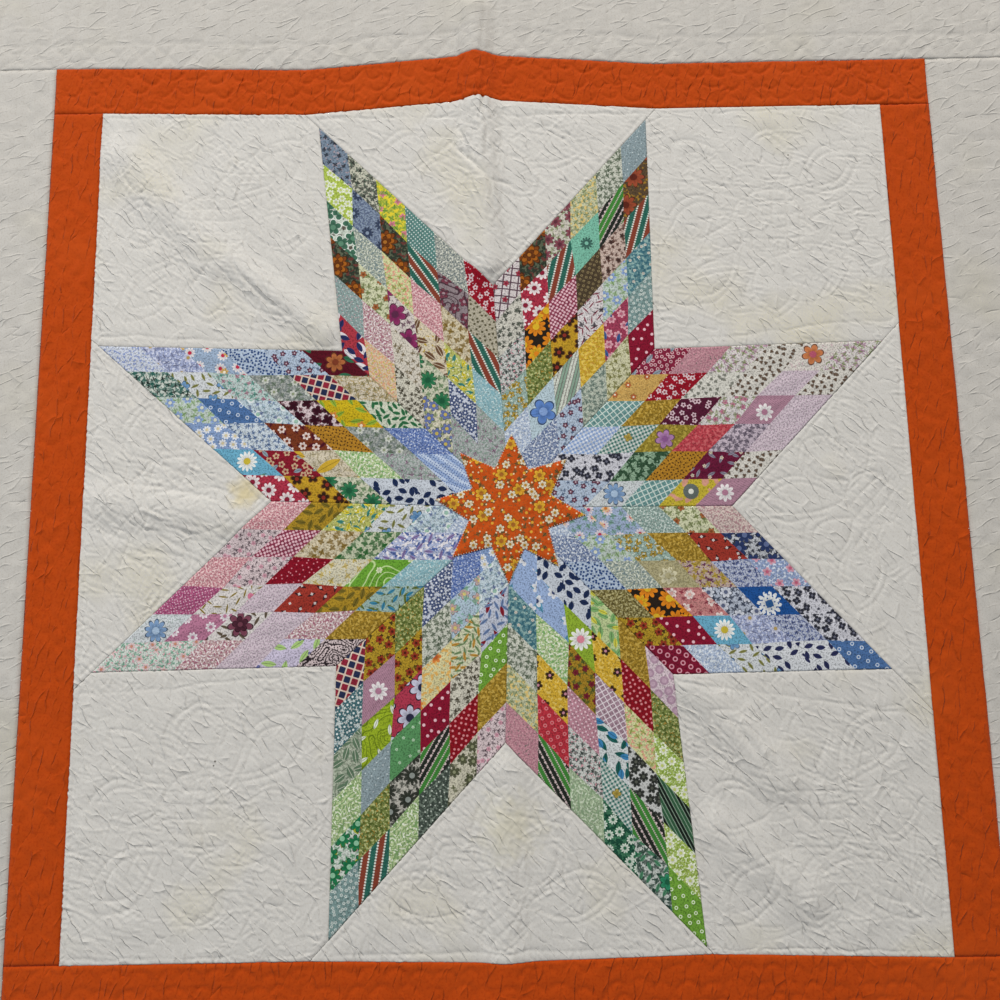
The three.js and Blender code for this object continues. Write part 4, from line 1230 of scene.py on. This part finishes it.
TRIANGLE_STEPS = 205
TRIANGLE_STRAY = {"right": 0.6, "top": 0.8, "left": 1.2, "bottom": 1.0}
FOOT_INSIDE = 62 * MM
HALF_WOVEN_REACH = 42 * MM
HALF_WOVEN_PITCH = 17 * MM
HALF_PETALS = [(-1.35, 165 * MM), (-0.7, 128 * MM), (0.0, 170 * MM), (0.7, 128 * MM), (1.35, 165 * MM)]
HALF_PETAL_WIDE = 25 * MM

for side in ground_sides:
    apex, (start, end), middle = side["apex"], side["seam_ends"], side["middle"]
    down, across = np.meshgrid(np.arange(TRIANGLE_STEPS + 1), np.arange(TRIANGLE_STEPS + 1), indexing="ij")
    inside = down + across <= TRIANGLE_STEPS
    share = across / np.maximum(down + across, 1)
    bent = np.where(
        (share <= 0.5)[..., None],
        start + (middle - start) * (2 * share)[..., None],
        middle + (end - middle) * (2 * share - 1)[..., None],
    )
    place = apex + (bent - apex) * ((down + across) / TRIANGLE_STEPS)[..., None]
    place[~inside] = apex
    out = np.array([0.0, 0.0])
    out[side["upright"]] = side["outward"]
    foot = middle - out * FOOT_INSIDE
    towards = math.atan2(-out[1], -out[0])
    design = woven_centre(foot, HALF_WOVEN_REACH, HALF_WOVEN_PITCH, towards + math.pi / 4)
    for turn, length in HALF_PETALS:
        for offset in (0.0, PETAL_ECHO):
            design.append(petal(foot, towards + turn, HALF_WOVEN_REACH, length, HALF_PETAL_WIDE, offset))
    outline = np.array([apex, start, middle, end])
    echo = inset_ring(np.array([apex, start, end]), ECHO_INSIDE)
    quilting = [hand_drawn(line) for line in design + [echo]]
    ground = quilted_ground(
        place[inside][:, None], [np.concatenate([outline, outline[:1]])], quilting,
        seed=30 + side["upright"] + 2 * (side["outward"] > 0), loft=0.7 * MM, rise=4 * MM, groove=1.0 * MM,
        pucker=1.3 * MM, seam_pucker=2.2 * MM, stray=TRIANGLE_STRAY[side["name"]], uneven=0.6 * MM,
    )
    rim = [(step, 0) for step in range(TRIANGLE_STEPS)]
    rim += [(TRIANGLE_STEPS - step, step) for step in range(TRIANGLE_STEPS)]
    rim += [(0, TRIANGLE_STEPS - step) for step in range(TRIANGLE_STEPS)]
    panel = cloth_object(
        "cream_triangle_" + side["name"], place, height_on(ground, place), [cream_cloth],
        inside=inside, rim=rim,
    )
    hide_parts("side_triangle_" + side["name"])
    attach(panel, "root")
    quilting_on[panel.name] = ground, quilting, STITCH_PITCH

# The orange strips that frame the ground, plain cotton quilted all over with rows of shells. The top and
# bottom strips run over the ends of the side strips.

STRIP_WIDTH = 80 * MM
STRIP_STEPS = {"top": 2.2 * MM, "bottom": 3.2 * MM, "left": 4.5 * MM, "right": 4.5 * MM}
SHELL_PITCH = 36 * MM
SHELL_ROWS = [76 * MM, 52 * MM, 28 * MM]
SHELL_POINTS = 14
SHELL_SWAY = 4 * MM
FRAME_EDGE = 6 * MM
orange_cloth = cotton(
    "orange_cotton", "be480c", [specks("b64209", 4, 0.35), stains("c44e12", 0.58)], creased=1.4, lean=1.75,
)


def pushed_out(side, places, width):
    moved = np.array(places, float)
    moved[:, side["upright"]] += side["outward"] * width
    return moved


def with_ends(side, places, width):
    """The same line carried on past both ends."""
    along = np.array([0.0, 0.0])
    along[1 - side["upright"]] = np.sign(places[0][1 - side["upright"]]) * width
    return [places[0] + along] + list(places) + [places[-1] - along]


def frame_place(inner_line, outer_line, pace):
    """The places of a frame piece between its two long edges, its length, and the line round it."""
    lengths = np.linalg.norm(np.diff(np.array(inner_line), axis=0), axis=1)
    counts = [max(2, int(round(length / pace))) for length in lengths]
    low, high = line_along(inner_line, counts), line_along(outer_line, counts)
    width = float(np.median(np.linalg.norm(high - low, axis=1)))
    share = np.linspace(0, 1, max(2, int(round(width / pace))) + 1)[:, None, None]
    place = low[None] * (1 - share) + high[None] * share
    length = float(np.linalg.norm(np.diff(place[0], axis=0), axis=1).sum())
    return place, length, np.concatenate([place[0], place[1:, -1], place[-1, ::-1], place[::-1, 0]])


def on_strip(place, along, across):
    """A place on a frame piece, given in metres along it and across it."""
    columns = np.arange(place.shape[1])
    length = np.concatenate([[0], np.cumsum(np.linalg.norm(np.diff(place[0], axis=0), axis=1))])
    column = np.interp(along, length, columns)
    first, last = [
        np.stack([np.interp(column, columns, place[row, :, axis]) for axis in (0, 1)], axis=-1)
        for row in (0, -1)
    ]
    wide = np.linalg.norm(last - first, axis=-1)
    part = np.clip(np.asarray(across) / wide, 0, 1 - FRAME_EDGE / wide)[..., None]
    return first * (1 - part) + last * part


for quarter, side in enumerate(ground_sides):
    inner_line = side["line"]
    if side["upright"]:
        inner_line = with_ends(side, inner_line, STRIP_WIDTH)
    outer_line = pushed_out(side, inner_line, STRIP_WIDTH)
    place, length, rim_line = frame_place(inner_line, outer_line, STRIP_STEPS[side["name"]])
    bow = np.linspace(0, math.pi, SHELL_POINTS)
    random = np.random.default_rng(60 + quarter)
    design = []
    for row, top in enumerate(SHELL_ROWS):
        for shell in range(int(length / SHELL_PITCH)):
            middle = (shell + 0.5 + 0.5 * (row % 2)) * SHELL_PITCH + random.normal(0, 3 * MM)
            reach = SHELL_PITCH / 2 * random.uniform(0.8, 1.0)
            hang = random.uniform(15, 23) * MM
            first = random.integers(0, 4) * min(row, 1)
            last = SHELL_POINTS - random.integers(0, 4) * min(row, 1)
            shell_line = on_strip(place, middle + reach * np.cos(bow), top - hang * np.sin(bow))
            design.append(hand_drawn(shell_line[first:last], SHELL_SWAY))
    ground = quilted_ground(
        place, [rim_line], design, seed=50 + quarter, loft=1.5 * MM, rise=3.5 * MM, groove=1.5 * MM,
        pucker=2.0 * MM, seam_pucker=2.2 * MM, stray=0.7, uneven=0.7 * MM, lean=110,
    )
    panel = cloth_object("orange_frame_" + side["name"], place, height_on(ground, place), [orange_cloth])
    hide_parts("orange_strip_" + side["name"])
    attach(panel, "root")

# The cream border outside the strips, cut as four strips and quilted with a band of crossed lines, one long
# line, and bars out to the hem. Its own edge is turned in as a plain hem.

BORDER_WIDTH = 176 * MM
BORDER_STEPS = {"top": 3.4 * MM, "bottom": 6.5 * MM, "left": 6.5 * MM, "right": 6.5 * MM}
BAND_WIDTH = 45 * MM
BAR_PITCH = 42 * MM
HEM_LINE = BORDER_WIDTH - 10 * MM
HEM_HIGH = 2.4 * MM
BORDER_STITCH_PITCH = 7.5 * MM
LONG_LINE_POINTS = 200
HEM_REACH = BLOCK_HALF + STRIP_WIDTH + BORDER_WIDTH
# The border cloth is a greyer, darker cream than the ground cloth: partly a cloth of its own, partly painted
# shade for the dimmer light on the quilt's outer edges.
border_cloth_with_painted_shade = cotton(
    "border_cotton_with_painted_shade", "cac6bf", [stains("c7c2b4", 0.56), specks("c3beb6", 3, 0.3)],
    grain=0.1, creased=1.0, lean=-0.4,
)

for quarter, side in enumerate(ground_sides):
    inner_line = list(pushed_out(side, with_ends(side, side["line"], STRIP_WIDTH), STRIP_WIDTH))
    if side["upright"]:
        inner_line = with_ends(side, inner_line, BORDER_WIDTH)
    hem_line = np.array(inner_line)
    hem_line[:, side["upright"]] = side["outward"] * HEM_REACH[side["upright"]]
    place, length, rim_line = frame_place(inner_line, hem_line, BORDER_STEPS[side["name"]])
    random = np.random.default_rng(80 + quarter)
    whole = np.linspace(0, length, LONG_LINE_POINTS)
    design = [on_strip(place, whole, np.full(LONG_LINE_POINTS, BAND_WIDTH))]
    for station in np.arange(BAR_PITCH / 2, length, BAR_PITCH):
        for lean in (-1, 1):
            across = np.linspace(0, BAND_WIDTH, 8)
            along = station + lean * BAR_PITCH * across / BAND_WIDTH
            kept = (along > 0) & (along < length)
            if kept.sum() > 1:
                design.append(on_strip(place, along[kept], across[kept]))
        wobble = station + random.normal(0, 1.5 * MM)
        design.append(on_strip(place, np.full(6, wobble), np.linspace(BAND_WIDTH, HEM_LINE, 6)))
    design.append(on_strip(place, whole, np.full(LONG_LINE_POINTS, HEM_LINE)))
    quilting = [hand_drawn(line) for line in design]
    ground = quilted_ground(
        place, [rim_line], quilting, seed=70 + quarter, loft=1.3 * MM, rise=4 * MM, groove=1.2 * MM,
        pucker=1.3 * MM, seam_pucker=1.8 * MM, stray=0.35, uneven=0.7 * MM, lean=15,
    )
    height = height_on(ground, place)
    height[-1] = HEM_HIGH
    panel = cloth_object("cream_border_" + side["name"], place, height, [border_cloth_with_painted_shade])
    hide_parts("border_" + side["name"])
    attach(panel, "root")
    quilting_on[panel.name] = ground, quilting, BORDER_STITCH_PITCH

# The eight-pointed star over the middle, one piece of orange printed cotton. Its edge is turned under and
# sewn down over the place where the eight points meet, with its tips on their seams.

CENTRE_TIP = 116 * MM
CENTRE_NOTCH = 66 * MM
CENTRE_TURNS = [-0.147, -0.111, -0.047, -0.087, -0.165, -0.122, -0.047, -0.149]
CENTRE_RINGS = 32
CENTRE_RAYS = 320
CENTRE_UNDER = 3.1 * MM
CENTRE_LOW = 3.9 * MM
CENTRE_PUFF = 3.0 * MM
PUFF_RISE = 9 * MM
RIPPLES = 26
RIPPLE_HIGH = 0.28 * MM

ray = np.arange(CENTRE_RAYS) / CENTRE_RAYS
rim_corners = []
for step in range(17):
    lean = (CENTRE_TURNS[step // 2 % 8] + CENTRE_TURNS[(step + 1) // 2 % 8]) / 2
    rim_corners.append(round_from_right(CENTRE_NOTCH if step % 2 else CENTRE_TIP, step / 2 + lean))
rim_corners = np.array(rim_corners)
along_rim = np.stack([np.interp(ray * 16, np.arange(17), rim_corners[:, axis]) for axis in (0, 1)], axis=1)
rings_out = np.linspace(1, 0, CENTRE_RINGS + 1)[:-1]
star_place = STAR_CENTRE + along_rim[None] * rings_out[:, None, None]
from_edge = (1 - rings_out)[:, None] * np.linalg.norm(along_rim, axis=1)[None] * 0.72
random = np.random.default_rng(7)
ripple = np.zeros_like(from_edge)
for _ in range(RIPPLES):
    way = random.normal(0, 1, 2)
    way = way / np.linalg.norm(way) * 2 * math.pi / (random.uniform(14, 34) * MM)
    ripple += np.cos(star_place @ way + random.uniform(0, 6.28)) / RIPPLES ** 0.5
star_high = CENTRE_LOW + CENTRE_PUFF * (1 - np.exp(-from_edge / PUFF_RISE))
star_high = star_high + RIPPLE_HIGH * ripple * np.clip(from_edge / (8 * MM), 0, 1)
star_points = np.concatenate([star_place, star_high[..., None]], axis=2).reshape(-1, 3)
star_middle = np.array([[*STAR_CENTRE, CENTRE_LOW + CENTRE_PUFF]])
star_under = np.concatenate([star_place[0], np.full((CENTRE_RAYS, 1), CENTRE_UNDER)], axis=1)
inner_ring = (CENTRE_RINGS - 1) * CENTRE_RAYS
hub = CENTRE_RINGS * CENTRE_RAYS
steps = [(step, (step + 1) % CENTRE_RAYS) for step in range(CENTRE_RAYS)]
star_faces = []
for ring in range(CENTRE_RINGS - 1):
    low, high = ring * CENTRE_RAYS, (ring + 1) * CENTRE_RAYS
    star_faces += [[low + step, low + after, high + after, high + step] for step, after in steps]
star_faces += [[inner_ring + step, inner_ring + after, hub] for step, after in steps]
top_faces = len(star_faces)
star_faces += [[hub + 1 + step, hub + 1 + after, after, step] for step, after in steps]
star_faces.append([hub + 1 + step for step in range(CENTRE_RAYS)][::-1])
star_mesh = bpy.data.meshes.new("centre_star_cloth")
star_mesh.from_pydata(np.concatenate([star_points, star_middle, star_under]).tolist(), [], star_faces)
centre_cloth = cotton("orange_flower_print", "cc561a", [
    specks("c04c14", 6, 0.4), leaves("6a5a34", 12, 4.4, 2.0, 0.6), dots("ecd9b0", 11, 1.3, 0.9, 0.7),
    dots("dfa83a", 15, 2.2, 0.9, 0.7), flowers("e2ac34", "a8682a", 41, 9.5, 6, 0.9, rim="8a4a16"),
    flowers("ecdfc4", "b8862e", 27, 6.4, 6, 0.9, 0.85, rim="5c5230"),
], grain=0.4, creased=0.5)
star_mesh.materials.append(centre_cloth)
cloth = star_mesh.uv_layers.new(name="cloth")
flat_places = np.array([vertex.co[:2] for vertex in star_mesh.vertices])
cloth.data.foreach_set("uv", flat_places[[i for face in star_faces for i in face]].astype(np.float32).ravel())
star_mesh.polygons.foreach_set("use_smooth", np.arange(len(star_faces)) < top_faces)
centre_star = linked("centre_star_cloth", star_mesh)
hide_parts("centre_star")
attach(centre_star, "root")

# The thread: short stitches of white cotton. They run over the edge of the centre star to hold it down, and
# along the quilting lines, drawn down into the cloth. The stitches on one panel are one piece.

STITCH_LONG = 2.8 * MM
STITCH_WIDE = 0.6 * MM
EDGE_PITCH = 4.2 * MM
EDGE_LONG = 2.6 * MM
EDGE_WIDE = 1.2 * MM
EDGE_HIGH = 4.4 * MM
EDGE_OUTSIDE = 0.7 * MM
HEM_CLEAR = 3 * MM
thread = cotton("quilting_thread", "e4dfd6", [], thread=0.3)


def sewn(name, marks, runs, heights, long, wide):
    """Stitches, each drawn down into the cloth at its ends, as one piece."""
    cross = np.stack([-runs[:, 1], runs[:, 0]], axis=1)
    ahead, aside = runs * long / 2, cross * wide / 2
    ends = [marks - ahead, marks + aside, marks + ahead, marks - aside, marks]
    lift = [-0.2 * MM, 0, -0.2 * MM, 0, 0.3 * MM]
    points = [np.column_stack([end, heights + high]) for end, high in zip(ends, lift)]
    points = np.stack(points, axis=1).reshape(-1, 3)
    first = 5 * np.arange(len(marks))[:, None]
    faces = np.concatenate([first + np.array([4, (k + 1) % 4, k]) for k in range(4)])
    mesh = bpy.data.meshes.new(name)
    mesh.from_pydata(points.tolist(), [], faces.tolist())
    mesh.materials.append(thread)
    cloth = mesh.uv_layers.new(name="cloth")
    cloth.data.foreach_set("uv", points[faces.ravel(), :2].astype(np.float32).ravel())
    stitches = linked(name, mesh)
    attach(stitches, "root")
    return stitches


marks, runs = walked(STAR_CENTRE + rim_corners, EDGE_PITCH)
over_edge = np.stack([-runs[:, 1], runs[:, 0]], axis=1)
marks = marks + over_edge * EDGE_OUTSIDE
heights = np.full(len(marks), EDGE_HIGH)
sewn("stitches_centre_star", marks, over_edge, heights, EDGE_LONG, EDGE_WIDE)

for name, (ground, quilting, pitch) in quilting_on.items():
    steps = [walked(line, pitch) for line in quilting]
    marks = np.concatenate([points for points, _ in steps])
    runs = np.concatenate([runs for _, runs in steps])
    kept = (np.abs(marks) < HEM_REACH - HEM_CLEAR).all(axis=1)
    marks, runs = marks[kept], runs[kept]
    heights = height_on(ground, marks) + fold_lift(marks)
    sewn("stitches_" + name, marks, runs, heights, STITCH_LONG, STITCH_WIDE)

# The pale floor that the quilt lies on, the soft light of a room, and the camera over the quilt.

FLOOR_HALF = 4.0
FLOOR_LOW = -0.4 * MM
floor_corners = [(-1, -1), (1, -1), (1, 1), (-1, 1)]
floor_mesh = bpy.data.meshes.new("floor")
floor_mesh.from_pydata(
    [(x * FLOOR_HALF, y * FLOOR_HALF, FLOOR_LOW) for x, y in floor_corners], [], [[0, 1, 2, 3]],
)
floor = linked("floor", floor_mesh)
floor_paint = bpy.data.materials.new("pale_floor")
floor_paint.use_nodes = True
floor_shader = floor_paint.node_tree.nodes["Principled BSDF"]
floor_shader.inputs["Base Color"].default_value = (0.72, 0.71, 0.69, 1)
floor_shader.inputs["Roughness"].default_value = 0.8
floor_mesh.materials.append(floor_paint)


def aimed(place, target, roll=0.0):
    """A turn that looks from a place to a target, with the top of the picture towards +Y."""
    back = np.asarray(place, float) - np.asarray(target, float)
    back = back / np.linalg.norm(back)
    right = np.cross((0, 1, 0), back)
    right = right / np.linalg.norm(right)
    up = np.cross(back, right)
    turned_right = math.cos(roll) * right - math.sin(roll) * up
    turned_up = math.sin(roll) * right + math.cos(roll) * up
    columns = np.stack([turned_right, turned_up, back], axis=1)
    return Matrix([[*columns[row], place[row]] for row in range(3)] + [[0, 0, 0, 1]])


KEY_PLACE = (0.9, 6.2, 4.6)
FILL_PLACE = (-3.4, 0.6, 2.6)
for name, place, size, energy, tint in (
    ("window_light", KEY_PLACE, 1.2, 425, (1.0, 0.965, 0.915)),
    ("side_light", FILL_PLACE, 2.0, 52, (0.94, 0.97, 1.0)),
):
    lamp = bpy.data.lights.new(name, "AREA")
    lamp.shape = "DISK"
    lamp.size = size
    lamp.energy = energy
    lamp.color = tint
    linked(name, lamp).matrix_world = aimed(place, (0, 0, 0))

world = bpy.data.worlds.new("soft_room")
world.use_nodes = True
room_light = world.node_tree.nodes["Background"]
room_light.inputs["Color"].default_value = (0.93, 0.96, 1.0, 1)
room_light.inputs["Strength"].default_value = 0.27
bpy.context.scene.world = world
bpy.context.scene.view_settings.view_transform = "Standard"

AIM = (2.7 * MM, 7.3 * MM, 5 * MM)
CAMERA_AWAY = 1322.6 * MM
CAMERA_TILT = math.radians(8.25)
CAMERA_ROLL = math.radians(1.05)
VIEW_ANGLE = math.radians(60)
camera_data = bpy.data.cameras.new("camera")
camera_data.sensor_width = 36
camera_data.lens = 18 / math.tan(VIEW_ANGLE / 2)
camera = linked("camera", camera_data)
camera_place = np.array(AIM) + CAMERA_AWAY * np.array([0, -math.sin(CAMERA_TILT), math.cos(CAMERA_TILT)])
camera.matrix_world = aimed(tuple(camera_place), AIM, CAMERA_ROLL)
bpy.context.scene.camera = camera
